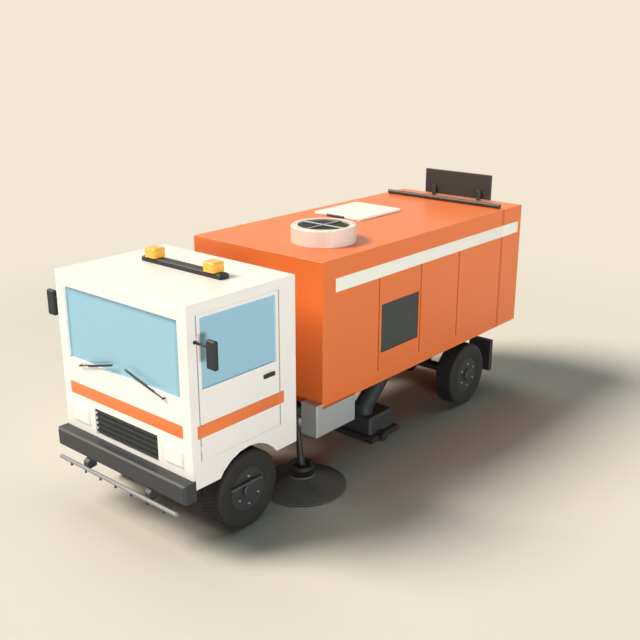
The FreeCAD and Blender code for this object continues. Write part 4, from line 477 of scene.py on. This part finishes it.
def rounded_box(low, high, ease, segments):
    """A box between two corners with its edges rounded."""
    shape = bmesh.new()
    bmesh.ops.create_cube(shape, size=1.0)
    middle = (Vector(low) + Vector(high)) / 2
    span = Vector(high) - Vector(low)
    for corner in shape.verts:
        corner.co = middle + Vector(a * b for a, b in zip(corner.co, span))
    bmesh.ops.bevel(shape, geom=shape.edges, offset=ease, segments=segments, profile=0.5,
                    affect="EDGES")
    return shape


def plate(name, low, high, ease, finish, body):
    """A box with its edges eased, such as a band of film, a lens or a block."""
    return show(name, from_bmesh(name, rounded_box(low, high, ease, 2)), finish, body)


cab_low, cab_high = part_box("cab_roof")
cab_side = cab_high[0]
cab_front = cab_low[1]
plate("band_front", (-FILM_FRONT_END, cab_front - FILM, FILM_LOW),
      (FILM_FRONT_END, cab_front + FILM_SINK, FILM_HIGH), FILM_EASE, band_orange, "chassis")
for side, door in ((1, "door_left"), (-1, "door_right")):
    face = sorted((side * (cab_side - FILM_SINK), side * (cab_side + FILM)))
    door_front = cab_front + DOOR_START
    door_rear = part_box(door)[1][1]
    pieces = [("chassis", cab_front + FILM_SIDE_FRONT, door_front - GAP - HAIR),
              (door, door_front + HAIR, door_rear - HAIR),
              ("chassis", door_rear + GAP + HAIR, cab_front + FILM_SIDE_REAR)]
    for number, (body, start, stop) in enumerate(pieces):
        plate("band_%s_%d" % (door, number), (face[0], start, FILM_LOW),
              (face[1], stop, FILM_HIGH), FILM_EASE, band_orange, body)

HANDLE_FRONT = 1.158        # handle behind the cab's front
HANDLE_REAR = 1.344
HANDLE_LOW = 1.885
HANDLE_HIGH = 1.935
HANDLE_OUT = 0.026
HANDLE_SINK = 0.002
HANDLE_EASE = 0.006
trim_black, shader, place = new_finish("trim black", Specular_IOR_Level=0.4)
grain = place.noise(420.0, 2.0)
place.noise(5.0).colour((0.015, 0.019, 0.023, 1), (0.020, 0.025, 0.030, 1)).feed(shader,
                                                                              "Base Color")
(grain * 0.15 + 0.45).feed(shader, "Roughness")
rough_surface(shader, grain, 0.12, 0.0004)
for side, door in ((1, "door_left"), (-1, "door_right")):
    face = sorted((side * (cab_side - HANDLE_SINK), side * (cab_side + HANDLE_OUT)))
    plate("handle_" + door, (face[0], cab_front + HANDLE_FRONT, HANDLE_LOW),
          (face[1], cab_front + HANDLE_REAR, HANDLE_HIGH), HANDLE_EASE, trim_black, door)


# ==== Windscreen, back window, door glass, door gap strips and lips
# Laminated and toughened glass with a solar tint, strong enough to read as pale blue from outside.
# Grey strips beside the gaps before and behind each door are painted shade that widens each
# gap's dark line; pale lips close the gaps above and below.

glass_blue, shader, place = new_finish("blue glass", Roughness=0.06, IOR=1.45, Alpha=0.9)
haze = place.noise(2.2, 2.0)
haze.colour((0.330, 0.60, 0.77, 1), (0.350, 0.62, 0.80, 1)).feed(shader, "Base Color")
glass_blue.surface_render_method = "BLENDED"
for node in ("cab_glass", "door_glass_left", "door_glass_right"):
    eased(node, glass_blue)

GAP_SHADE_WIDE = 0.011
GAP_SHADE_OUT = 0.0015
GAP_SHADE_SINK = 0.001
GAP_SHADE_AHEAD = 0.0008         # a grey strip of painted shade stops this far short of the gap before the door
GAP_SHADE_BEHIND = 0.0003        # and of the gap behind it
THIN_STRIP_EASE = 0.0004
LIP_THICK = 0.0038
LIP_DEEP = 0.014
LIP_BELOW = 0.0006          # how far a lip stays under the sheet's face
LIP_INSET = 0.004           # and short of the door's corners
lip_white, shader, place = new_finish("lip white", Specular_IOR_Level=0.3)
place.noise(24.0).colour((0.86, 0.83, 0.74, 1), (0.90, 0.86, 0.77, 1)).feed(shader, "Base Color")
(place.noise(60.0) * 0.1 + 0.5).feed(shader, "Roughness")
# Grey strips of painted shade beside the door gaps, darker than the cab's white.
gap_shade_grey, shader, place = new_finish("gap shade grey", Specular_IOR_Level=0.3)
place.noise(30.0).colour((0.27, 0.26, 0.24, 1), (0.31, 0.30, 0.275, 1)).feed(shader, "Base Color")
(place.noise(50.0) * 0.1 + 0.6).feed(shader, "Roughness")
for side, door in ((1, "door_left"), (-1, "door_right")):
    door_low, door_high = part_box(door)
    face = sorted((side * (cab_side - GAP_SHADE_SINK), side * (cab_side + GAP_SHADE_OUT)))
    gap_shade_front = cab_front + DOOR_START - GAP - GAP_SHADE_AHEAD - GAP_SHADE_WIDE
    gap_shade_rear = door_high[1] + GAP + GAP_SHADE_BEHIND
    for number, start in enumerate((gap_shade_front, gap_shade_rear)):
        for half, (low_z, high_z) in enumerate(((door_low[2], FILM_LOW - 2 * HAIR),
                                                (FILM_HIGH + 2 * HAIR, door_high[2]))):
            plate("seal_%s_%d_%d" % (door, number, half), (face[0], start, low_z),
                  (face[1], start + GAP_SHADE_WIDE, high_z), THIN_STRIP_EASE, gap_shade_grey, "chassis")
    lip = sorted((side * (cab_side - LIP_DEEP), side * (cab_side - LIP_BELOW)))
    for name, low_z, high_z in (("low", door_low[2] - GAP, door_low[2] - GAP + LIP_THICK),
                                ("top", door_high[2] + GAP - LIP_THICK, door_high[2] + GAP)):
        plate("lip_%s_%s" % (name, door), (lip[0], door_low[1] + LIP_INSET, low_z),
              (lip[1], door_high[1] - LIP_INSET, high_z), THIN_STRIP_EASE, lip_white, "chassis")


# ==== Lamps, grille, bumper, spray bar, wipers and mirrors
# Moulded lamps with ribbed lenses, a pressed louvre grille and a folded steel bumper in dark
# grey. A galvanised water tube hangs ahead of the bumper with seven short jets.

bumper_grey = painted("bumper grey", (0.030, 0.034, 0.040), 0.5, 0.03)
louvre_grey = painted("louvre grey", (0.030, 0.034, 0.036), 0.5, 0.04)
eased("front_bumper", bumper_grey, 0.009)
eased("grille", louvre_grey, 0.002)

lens_clear, shader, place = new_finish("lamp lens", Roughness=0.18, Coat_Weight=0.4)
ribs = place.part(0).add("ShaderNodeTexWave", {"bands_direction": "X"},
                         {"Vector": place, "Scale": 14.0})
place.noise(3.0).colour((0.90, 0.88, 0.845, 1), (0.92, 0.90, 0.865, 1)).feed(shader, "Base Color")
rough_surface(shader, ribs, 0.08, 0.001)
eased("headlamps", lens_clear, 0.002)

galvanised, shader, place = new_finish("galvanised tube", Metallic=0.1)
flakes = place.add("ShaderNodeTexVoronoi", {}, {"Vector": place, "Scale": 55.0}, 1)
spangle = flakes.part(0)
spangle.colour((0.245, 0.255, 0.275, 1), (0.29, 0.30, 0.32, 1)).feed(shader, "Base Color")
(spangle * 0.12 + 0.5).feed(shader, "Roughness")
spray = eased("spray_bar", galvanised, 0.002)
BRACKET_X = 0.600           # middle of each bracket from the truck's middle
BRACKET_HALF = 0.047
BRACKET_START = 0.0315      # a bracket's front behind the tube's front
JET_TOP = 0.594
spray_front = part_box("spray_bar")[0][1]


def not_tube(middle):
    across = abs(abs(middle.x) - BRACKET_X) < BRACKET_HALF
    on_bracket = across and middle.y > spray_front + BRACKET_START
    return on_bracket or middle.z < JET_TOP


second_finish(spray, bumper_grey, not_tube)

eased("wipers", trim_black, 0.001)
eased("mirrors", trim_black, 0.004)
eased("light_bar", trim_black, 0.004)

amber, shader, place = new_finish("amber lens", Roughness=0.22, Coat_Weight=0.3)
facets = place.add("ShaderNodeTexWave", {"bands_direction": "Z"}, {"Vector": place, "Scale": 18.0})
place.noise(6.0).colour((0.96, 0.45, 0.038, 1), (1.0, 0.49, 0.055, 1)).feed(shader, "Base Color")
rough_surface(shader, facets, 0.10, 0.001)
eased("beacons", amber, 0.005)

MIRROR_GLASS = 0.003
MIRROR_SINK = 0.001
MIRROR_OUTER = 0.018        # the glass's outer and inner edge inside the housing's outer side
MIRROR_INNER = 0.132
MIRROR_RIM = 0.02           # housing left above and below the glass
mirror_silver, shader, place = new_finish("mirror silver", Metallic=1.0, Roughness=0.04)
place.noise(2.0).colour((0.82, 0.83, 0.84, 1), (0.88, 0.88, 0.89, 1)).feed(shader, "Base Color")
low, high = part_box("mirrors")
for side, ending in ((1, "left"), (-1, "right")):
    across = sorted((side * (high[0] - MIRROR_OUTER), side * (high[0] - MIRROR_INNER)))
    plate("mirror_glass_" + ending, (across[0], high[1] - MIRROR_SINK, low[2] + MIRROR_RIM),
          (across[1], high[1] + MIRROR_GLASS, high[2] - MIRROR_RIM), 0.001, mirror_silver,
          "chassis")


# ==== Seats and dashboard
# Two sprung seats: foam cushions and backs under woven cloth, each on a boxed steel base.
# The dashboard is one grained moulding with the steering wheel on its left.

dash_plastic, shader, place = new_finish("dash plastic", Specular_IOR_Level=0.35)
grain = place.noise(300.0, 3.0)
place.noise(4.0).colour((0.035, 0.036, 0.038, 1), (0.045, 0.046, 0.049, 1)).feed(shader,
                                                                              "Base Color")
(grain * 0.15 + 0.5).feed(shader, "Roughness")
rough_surface(shader, grain, 0.2, 0.0005)
eased("dashboard", dash_plastic, 0.006)

WEAVE = 900.0
seat_cloth, shader, place = new_finish("seat cloth", Sheen_Weight=0.25, Sheen_Roughness=0.5)
warp = place.add("ShaderNodeTexWave", {"bands_direction": "X"}, {"Vector": place, "Scale": WEAVE})
weft = place.add("ShaderNodeTexWave", {"bands_direction": "Z"}, {"Vector": place, "Scale": WEAVE})
threads = warp * weft
fade = place.noise(7.0, 3.0)
(threads * 0.5 + fade * 0.5).colour((0.040, 0.045, 0.055, 1),
                                    (0.085, 0.092, 0.105, 1)).feed(shader, "Base Color")
(fade * 0.1 + 0.82).feed(shader, "Roughness")
rough_surface(shader, threads, 0.35, 0.0006)

CUSHION_CAP = 0.024         # how far the filling may push the cover out
CUSHION_ROUND = 0.3         # edge radius as a share of the thinnest side
VOXEL = 0.006
PRESSURE = 4.0
SETTLED = 20                # frame at which the cover has come to rest
SEAT_X = 0.56
CUSHION_LOW = 1.44
BASE_HALF = 0.19            # half the width of a seat's base
BASE_FRONT = 0.06           # its front and rear behind the seat's front
BASE_REAR = 0.44
BASE_INTO = 0.005           # how far it reaches into the cushion
CHANNELS = (-0.085, 0.085)  # sewn channels across the seat
CHANNEL_DEEP = 0.009
CHANNEL_HALF = 0.011
SEATS = [                   # name, lowest corner, highest corner, lean, way the sewn side faces
    ("cushion", (-0.225, 0.02, 0.01), (0.225, 0.47, 0.11), 0.0, (0, 0, 1)),
    ("back", (-0.215, 0.43, 0.15), (0.215, 0.52, 0.86), -0.145, (0, -1, 0)),
]


def stuffed(name, low, high, lean, sewn):
    """A cushion blown up by cloth pressure from a rounded block, then drawn in at its channels."""
    thinnest = min(Vector(high) - Vector(low))
    shape = rounded_box(low, high, thinnest * CUSHION_ROUND, 3)
    middle = (Vector(low) + Vector(high)) / 2
    foot = Vector((middle.x, middle.y, low[2]))
    bmesh.ops.rotate(shape, cent=foot, matrix=Matrix.Rotation(lean, 3, "X"), verts=shape.verts)
    pad = bpy.data.objects.new(name, from_bmesh(name, shape))
    bpy.context.scene.collection.objects.link(pad)
    grid = pad.modifiers.new("even grid", "REMESH")
    grid.mode = "VOXEL"
    grid.voxel_size = VOXEL
    graph = bpy.context.evaluated_depsgraph_get()
    pad.data = bpy.data.meshes.new_from_object(pad.evaluated_get(graph))
    pad.modifiers.clear()
    cover = pad.modifiers.new("cover", "CLOTH")
    cover.settings.use_pressure = True
    cover.settings.uniform_pressure_force = PRESSURE
    cover.settings.effector_weights.gravity = 0.0
    cover.point_cache.frame_start = 1
    cover.point_cache.frame_end = SETTLED
    for number in range(1, SETTLED + 1):
        bpy.context.scene.frame_set(number)
    graph = bpy.context.evaluated_depsgraph_get()
    blown = bpy.data.meshes.new_from_object(pad.evaluated_get(graph))
    pad.modifiers.clear()
    for corner, new in zip(pad.data.vertices, blown.vertices):
        move = new.co - corner.co
        if move.length > CUSHION_CAP:
            move = move * (CUSHION_CAP / move.length)
        corner.co = corner.co + move
    bpy.context.scene.frame_set(1)
    mesh = pad.data
    bpy.data.objects.remove(pad)
    inward = [corner.normal.copy() for corner in mesh.vertices]
    for corner, normal in zip(mesh.vertices, inward):
        nearest = min(abs(corner.co.x - line) for line in CHANNELS)
        facing_up = max(normal.dot(Vector(sewn)), 0.0)
        corner.co = corner.co - normal * (CHANNEL_DEEP * facing_up
                                          * math.exp(-(nearest / CHANNEL_HALF) ** 2))
    for face in mesh.polygons:
        face.use_smooth = True
    return mesh


seat_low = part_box("seats")[0]
for part, low, high, lean, sewn in SEATS:
    made = stuffed("seat_" + part, low, high, lean, sewn)
    for side, ending in ((1, "left"), (-1, "right")):
        mesh = made.copy()
        mesh.transform(Matrix.Translation((side * SEAT_X, seat_low[1], CUSHION_LOW)))
        pad = show("seat_%s_%s" % (part, ending), mesh, seat_cloth, "chassis")
        smooth = pad.modifiers.new("smooth", "SUBSURF")
        smooth.levels = 1
        smooth.render_levels = 1
for side, ending in ((1, "left"), (-1, "right")):
    base = plate("seat_base_" + ending,
                 (side * SEAT_X - BASE_HALF, seat_low[1] + BASE_FRONT,
                  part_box("cab_floor")[1][2]),
                 (side * SEAT_X + BASE_HALF, seat_low[1] + BASE_REAR, CUSHION_LOW + BASE_INTO),
                 0.008, frame_black, "chassis")
    if side > 0:
        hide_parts("seats")


# ==== Hopper, vents and tailgate
# Folded and welded steel sheet sprayed orange, stiffened by pressed grooves, with a bolted panel
# on each side and a band of white film near the top. Dark red strips paint the shade in the
# grooves, beside the tailgate gap and under the hopper's edge above the lockers.

body_orange = painted("body orange", ORANGE, 0.38, 0.05, 0.15)
hopper_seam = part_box("hopper_shell")[1][2]


def on_hopper_seam(edge):
    return all(abs(corner.co.z - hopper_seam) < SEAM_NEAR for corner in edge.verts)


eased("hopper_shell", body_orange, 0.002, on_hopper_seam)
eased("hopper_roof", body_orange, 0.002, on_hopper_seam)
gate = eased("tailgate", body_orange, 0.002)

vent_grey = painted("vent grey", (0.033, 0.042, 0.043), 0.5, 0.03)
eased("vent_panels", vent_grey, 0.003)

WHITE_LOW = 2.655
WHITE_HIGH = 2.838
WHITE_START = 0.255         # start and end of the white band behind the hopper's front
WHITE_END = 4.970
WHITE_CUT = 0.0004          # each part of it stops this far from the tailgate's front
film_white = painted("film white", (0.88, 0.89, 0.83), 0.38, 0.02)
hopper_low, hopper_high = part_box("hopper_roof")
body_side = hopper_high[0]
body_front = hopper_low[1]
gate_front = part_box("tailgate")[0][1]
for side, ending in ((1, "left"), (-1, "right")):
    face = sorted((side * (body_side - FILM_SINK), side * (body_side + FILM)))
    plate("white_band_" + ending, (face[0], body_front + WHITE_START, WHITE_LOW),
          (face[1], gate_front - WHITE_CUT, WHITE_HIGH), FILM_EASE, film_white, "hopper")
    plate("white_band_gate_" + ending, (face[0], gate_front + WHITE_CUT, WHITE_LOW),
          (face[1], body_front + WHITE_END, WHITE_HIGH), FILM_EASE, film_white, "tailgate")

GROOVE_SHADE_PROUD = 0.00154            # how far the painted shade strips stand off the sheet
GROOVE_SHADE_EASE = 0.0005
GROOVE_SHADE_CUT = 0.001          # it stops this far from the white band and the tailgate
GROOVE_SHADE_HALF = 0.011           # half the width of the painted shade strip over a groove
GROOVE_PLACES = (1.190, 2.190, 3.200)
GROOVE_SHADE_LOW = 1.305
EDGE_WIDE = 0.018           # from the front edge of the painted shade beside the tailgate to the tailgate
BODY_LOW = 1.120            # the strips' lowest and highest ends
BODY_HIGH = 3.092
SILL_START = 0.003          # the painted shadow over the locker: behind the hopper's front, and its edges
SILL_LOW = 1.119
SILL_HIGH = 1.143
# Dark red strips over the grooves, beside the tailgate gap and above the lockers: painted shade.
groove_shade_red = painted("groove shade red", (0.42, 0.052, 0.012), 0.5, 0.05)
edge_front = gate_front - EDGE_WIDE
edge_rear = gate_front - GROOVE_SHADE_CUT
under_band = WHITE_LOW - GROOVE_SHADE_CUT
over_band = WHITE_HIGH + GROOVE_SHADE_CUT
strips = [(body_front + start - GROOVE_SHADE_HALF, body_front + start + GROOVE_SHADE_HALF, GROOVE_SHADE_LOW, under_band)
          for start in GROOVE_PLACES]
strips += [(edge_front, edge_rear, BODY_LOW, under_band),
           (edge_front, edge_rear, over_band, BODY_HIGH),
           (body_front + SILL_START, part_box("side_lockers")[1][1], SILL_LOW, SILL_HIGH)]
for side, ending in ((1, "left"), (-1, "right")):
    face = sorted((side * (body_side - FILM_SINK), side * (body_side + GROOVE_SHADE_PROUD)))
    for number, (front, rear, bottom, top) in enumerate(strips):
        plate("sealer_%s_%d" % (ending, number), (face[0], front, bottom), (face[1], rear, top),
              GROOVE_SHADE_EASE, groove_shade_red, "hopper")

VENT_BOLT = 0.008
VENT_BOLT_HEIGHT = 0.006
VENT_BOLT_INSET = 0.03
VENT_BOLT_PROUD = 0.002     # a bolt's middle outside the panel
VENT_BOLTS = 7              # in each row
vent_low, vent_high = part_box("vent_panels")
vent_rows = []
for side in (-1, 1):
    for z in (vent_low[2] + VENT_BOLT_INSET, vent_high[2] - VENT_BOLT_INSET):
        vent_rows.append(facing((side * (vent_high[0] + VENT_BOLT_PROUD),
                                 vent_low[1] + VENT_BOLT_INSET, z), (0, 1, 0), (side, 0, 0)))
row_length = vent_high[1] - vent_low[1] - 2 * VENT_BOLT_INSET
grown("vent_bolts", bolt_row,
      {"Count": VENT_BOLTS, "Pitch": row_length / (VENT_BOLTS - 1), "Bolt": VENT_BOLT,
       "Height": VENT_BOLT_HEIGHT, "Finish": vent_grey}, vent_rows, "hopper")


# ==== Fan, hatch, hinge bar, message board and tipping ram
# A spun white cowl round the suction fan with two grey crossed bars, a white lid with a dark grab
# bar, a plain dark board on two posts behind the hinge bar, and a chromed ram rod in its barrel.

# The cowl is white, painted darker and pinker: painted shade and a painted orange reflection from
# the roof.
cowl_painted_shade = painted("cowl painted shade", (0.80, 0.70, 0.65), 0.36, 0.04, 0.2)
eased("fan_cowl", cowl_painted_shade, 0.004)
eased("fan_rotor", louvre_grey, 0.001)
eased("fan_grille", louvre_grey, 0.001)
bar_light = painted("bar light grey", (0.40, 0.42, 0.43), 0.4, 0.0)
eased("fan_guard", bar_light, 0.002)
bar_dark = painted("bar dark grey", (0.029, 0.029, 0.030), 0.42, 0.02)
eased("hinge_bar", bar_dark, 0.004)
lid = eased("roof_hatch", cab_white, 0.003)
GRAB_DEEP = 0.049           # the grab bar and its feet, from the lid's front end
grab_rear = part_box("roof_hatch")[0][1] + GRAB_DEEP
second_finish(lid, bar_dark, lambda middle: middle.y < grab_rear)
BAR_RADIUS = 0.035
RING_RADIUS = 0.0362        # faces of the tailgate's rings lie within this of the hinge line
hinge_low, hinge_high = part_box("hinge_bar")
hinge_line = Vector((0, (hinge_low[1] + hinge_high[1]) / 2, hinge_high[2] - BAR_RADIUS))


def on_ring(middle):
    away = Vector((0, middle.y, middle.z)) - hinge_line
    return away.length < RING_RADIUS


second_finish(gate, bar_dark, on_ring)
board_dark = painted("board dark", (0.027, 0.027, 0.0285), 0.5, 0.02)
eased("arrow_board", board_dark, 0.003)
chrome, shader, place = new_finish("ram chrome", Metallic=1.0)
place.noise(30.0).colour((0.62, 0.62, 0.63, 1), (0.72, 0.72, 0.73, 1)).feed(shader, "Base Color")
(place.noise(70.0) * 0.1 + 0.12).feed(shader, "Roughness")
eased("ram_barrel", frame_black, 0.003)
eased("ram_rod", chrome, 0.002)


# ==== Side lockers, brooms and suction mouths
# Sheet aluminium lockers with a painted highlight down each front corner, cup brooms of stiff
# bristle on tapered swing arms, and bevelled steel pickup hoods with rubber skirts, hoses up to
# the hopper and a roller.

locker_sheet, shader, place = new_finish("locker sheet", Metallic=0.25)
brush = place.add("ShaderNodeMapping", {}, {"Vector": place, "Scale": (3.0, 3.0, 260.0)})
strokes = brush.noise(1.0, 2.0)
strokes.colour((0.37, 0.40, 0.42, 1), (0.42, 0.45, 0.47, 1)).feed(shader, "Base Color")
(strokes * 0.18 + 0.34).feed(shader, "Roughness")
rough_surface(shader, strokes, 0.04, 0.0005)
eased("side_lockers", locker_sheet, 0.006)

HIGHLIGHT_WIDE = 0.011
HIGHLIGHT_OUT = 0.0015
HIGHLIGHT_SINK = 0.004
HIGHLIGHT_START = 0.0065         # highlight strip behind the locker's front corner
HIGHLIGHT_SHORT = 0.008          # and short of its top and bottom
# A pale strip down each locker's front corner is a painted highlight.
painted_highlight, shader, place = new_finish("painted highlight", Metallic=0.2)
place.noise(30.0).colour((0.72, 0.74, 0.75, 1), (0.80, 0.82, 0.83, 1)).feed(shader, "Base Color")
(place.noise(70.0) * 0.1 + 0.35).feed(shader, "Roughness")
locker_low, locker_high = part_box("side_lockers")
for side, ending in ((1, "left"), (-1, "right")):
    across = sorted((side * (locker_high[0] - HIGHLIGHT_SINK), side * (locker_high[0] + HIGHLIGHT_OUT)))
    highlight_front = locker_low[1] + HIGHLIGHT_START
    plate("locker_highlight_" + ending, (across[0], highlight_front, locker_low[2] + HIGHLIGHT_SHORT),
          (across[1], highlight_front + HIGHLIGHT_WIDE, locker_high[2] - HIGHLIGHT_SHORT), 0.0007,
          painted_highlight, "chassis")

arm_black = painted("arm black", (0.012, 0.0135, 0.015), 0.5, 0.03)
hose_paint = painted("hose grey", (0.011, 0.020, 0.024), 0.6, 0.02)
hood_grey = painted("hood grey", (0.028, 0.029, 0.033), 0.5, 0.05)
eased("suction_hoses", hose_paint, 0.003)
eased("suction_hoods", hood_grey, 0.004)
skirt_rubber, shader, place = new_finish("skirt rubber", Specular_IOR_Level=0.3)
scuff = place.noise(18.0, 4.0)
scuff.colour((0.018, 0.018, 0.018, 1), (0.035, 0.033, 0.030, 1)).feed(shader, "Base Color")
(scuff * 0.2 + 0.6).feed(shader, "Roughness")
rough_surface(shader, scuff, 0.2, 0.001)
eased("suction_skirts", skirt_rubber, 0.004)
eased("roller_left", skirt_rubber, 0.002)
eased("roller_right", skirt_rubber, 0.002)

bristle, shader, place = new_finish("bristle", Specular_IOR_Level=0.3)
strands = place.noise(150.0, 3.0)
strands.colour((0.088, 0.084, 0.077, 1), (0.138, 0.132, 0.120, 1)).feed(shader, "Base Color")
(strands * 0.2 + 0.65).feed(shader, "Roughness")
rough_surface(shader, strands, 0.4, 0.002)
CORE_PROFILE = [            # height and distance from the broom's middle
    (0.012, 0.598), (0.028, 0.600), (0.164, 0.184), (0.185, 0.174), (0.185, 0.020),
    (0.125, 0.020), (0.125, 0.170), (0.012, 0.520),
]
CORE_STEPS = 72
TUFT_TOP = Vector((0.188, 0, 0.166))        # a tuft's ends for the first one of the ring
TUFT_FOOT = Vector((0.6045, 0, 0.0255))
TUFT_ROWS = [               # tufts round the ring, turn in tufts, half width at root and at tip
    (168, 0.0, 0.0018, 0.0042), (168, 0.5, 0.0018, 0.0036),
]

tuft_ring, size, end = sized_tree("tuft_ring", {
    "Count": "Int", "Ring": "Float", "Lean": "Float", "Length": "Float", "Tip": "Float",
    "Root": "Float", "Finish": "Material"})
ring = size["Ring"].add("GeometryNodeMeshCircle", {}, {"Vertices": size["Count"],
                                                       "Radius": size["Ring"]})
tuft = ring.add("GeometryNodeMeshCone", {}, {"Vertices": 5, "Radius Top": size["Tip"],
                                             "Radius Bottom": size["Root"],
                                             "Depth": size["Length"]})
outward = ring.add("FunctionNodeAlignRotationToVector", {"axis": "X"},
                   {"Vector": ring.add("GeometryNodeInputPosition")})
lean = ring.add("FunctionNodeRotateRotation", {"rotation_space": "LOCAL"},
                {"Rotation": outward,
                 "Rotate By": ring.add("ShaderNodeCombineXYZ", {}, {"Y": size["Lean"]})})
finish_tree(ring.add("GeometryNodeInstanceOnPoints", {}, {"Points": ring, "Instance": tuft,
                                                          "Rotation": lean}), size, end)
for ending in ("left", "right"):
    low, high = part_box("broom_" + ending)
    middle = Vector(((low[0] + high[0]) / 2, (low[1] + high[1]) / 2, 0))
    upright = Matrix.Translation(middle) @ Matrix.Rotation(math.radians(-90), 4, "Y")
    shape = lathe(CORE_PROFILE, Vector((0, 0, 0)), CORE_STEPS)
    bmesh.ops.transform(shape, matrix=upright, verts=shape.verts)
    core = show("broom_core_" + ending, from_bmesh("core", shape), bristle, "broom_" + ending)
    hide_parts("broom_" + ending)
    fall = TUFT_FOOT - TUFT_TOP
    for number, (count, turn, root, tip) in enumerate(TUFT_ROWS):
        place = (Matrix.Translation(middle + Vector((0, 0, TUFT_TOP.z)))
                 @ Matrix.Rotation(2 * math.pi * turn / count, 4, "Z"))
        grown("tufts_%s_%d" % (ending, number), tuft_ring,
              {"Count": count, "Ring": TUFT_TOP.x, "Lean": math.atan2(fall.x, fall.z),
               "Length": fall.length, "Tip": tip, "Root": root, "Finish": bristle},
              [place], "broom_" + ending)
    eased("broom_arm_" + ending, arm_black, 0.002)


# ==== Tail lamps
# Moulded lamps screwed to the mudguard plates: a red lens, and an amber one at the outer end.

AMBER_WIDE = 0.115
tail_red = painted("tail lamp red", (0.55, 0.012, 0.010), 0.25, 0.0, 0.3)
lamps = eased("tail_lamps", amber, 0.003)
red_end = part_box("tail_lamps")[1][0] - AMBER_WIDE
second_finish(lamps, tail_red, lambda middle: abs(middle.x) < red_end)


# ==== Floor, lights and camera
# A plain pale floor that fades into the backdrop, a soft high key lamp from ahead on the right,
# two weak soft lamps from behind, and a low lamp that lights the left side and the front.

BACKDROP = (0.888, 0.806, 0.665, 1)
FLOOR = (0.675, 0.648, 0.600, 1)
FADE_START = 8.0
FADE_END = 13.0
FLOOR_RADIUS = 260.0
AMBIENT = (1.0, 0.99, 0.975, 1)
AMBIENT_STRENGTH = 0.01

shape = bmesh.new()
bmesh.ops.create_circle(shape, cap_ends=True, radius=FLOOR_RADIUS, segments=64)
floor_mesh = bpy.data.meshes.new("floor")
shape.to_mesh(floor_mesh)
shape.free()
floor = bpy.data.objects.new("floor", floor_mesh)
bpy.context.scene.collection.objects.link(floor)
floor_finish, shader, place = new_finish("floor", Roughness=0.9, Specular_IOR_Level=0.0)
shader.inputs["Base Color"].default_value = FLOOR
away = place.add("ShaderNodeVectorMath", {"operation": "LENGTH"}, {0: place}, 1)


def seen_rays(tree):
    """1 for rays that see the scene itself, in a mirror or through glass, and 0 for its light."""
    path = tree.nodes.new("ShaderNodeLightPath")
    direct, mirrored, through = (Tone(tree, path.outputs["Is %s Ray" % kind])
                                 for kind in ("Camera", "Glossy", "Transmission"))
    return direct + mirrored + through


share = away.between(FADE_START, FADE_END) * seen_rays(place.tree)
glow = place.add("ShaderNodeEmission", {}, {"Color": BACKDROP, "Strength": 1.0})
mixed = place.add("ShaderNodeMixShader", {}, {0: share, 1: Tone(place.tree, shader.outputs[0]),
                                              2: glow})
mixed.feed(floor_finish.node_tree.nodes["Material Output"], "Surface")
floor_mesh.materials.append(floor_finish)

world = bpy.data.worlds.new("studio")
bpy.context.scene.world = world
world.use_nodes = True
tree = world.node_tree
tree.nodes.clear()
shown = seen_rays(tree)
backdrop = shown.add("ShaderNodeBackground", {}, {"Color": BACKDROP, "Strength": 1.0})
sky = shown.add("ShaderNodeBackground", {}, {"Color": AMBIENT, "Strength": AMBIENT_STRENGTH})
both = shown.add("ShaderNodeMixShader", {}, {0: shown.between(0, 1), 1: sky, 2: backdrop})
both.feed(tree.nodes.new("ShaderNodeOutputWorld"), "Surface")

LIGHTS = [                  # name, the way the light travels, strength, spread, colour
    ("key", (0.524, 0.456, -0.719), 4.22, 0.44, (1.03, 0.945, 0.80)),
    ("top", (0.44, -0.235, -0.866), 0.62, 0.60, (0.86, 0.97, 0.95)),
    ("back", (-0.20, -0.38, -0.903), 0.27, 0.60, (0.62, 0.97, 0.93)),
    ("fill", (-0.92, 0.40, -0.03), 2.52, 0.16, (0.94, 0.95, 0.94)),
]
for name, travels, strength, spread, colour in LIGHTS:
    sun = bpy.data.lights.new(name, "SUN")
    sun.energy = strength
    sun.angle = spread
    sun.color = colour
    lamp = bpy.data.objects.new(name, sun)
    lamp.rotation_euler = Vector(travels).to_track_quat("-Z", "Y").to_euler()
    bpy.context.scene.collection.objects.link(lamp)

CAMERA_PLACE = (8.1635, -9.453, 5.866)
CAMERA_DOWN = 0.3169        # below the horizon, in radians
CAMERA_TURN = 0.7101
lens = bpy.data.cameras.new("camera")
lens.lens = 50.0
lens.sensor_width = 36.0
lens.clip_end = 600.0
camera = bpy.data.objects.new("camera", lens)
camera.location = CAMERA_PLACE
camera.rotation_euler = (math.pi / 2 - CAMERA_DOWN, 0.0, CAMERA_TURN)
bpy.context.scene.collection.objects.link(camera)
bpy.context.scene.camera = camera

bpy.context.scene.view_settings.view_transform = "Standard"
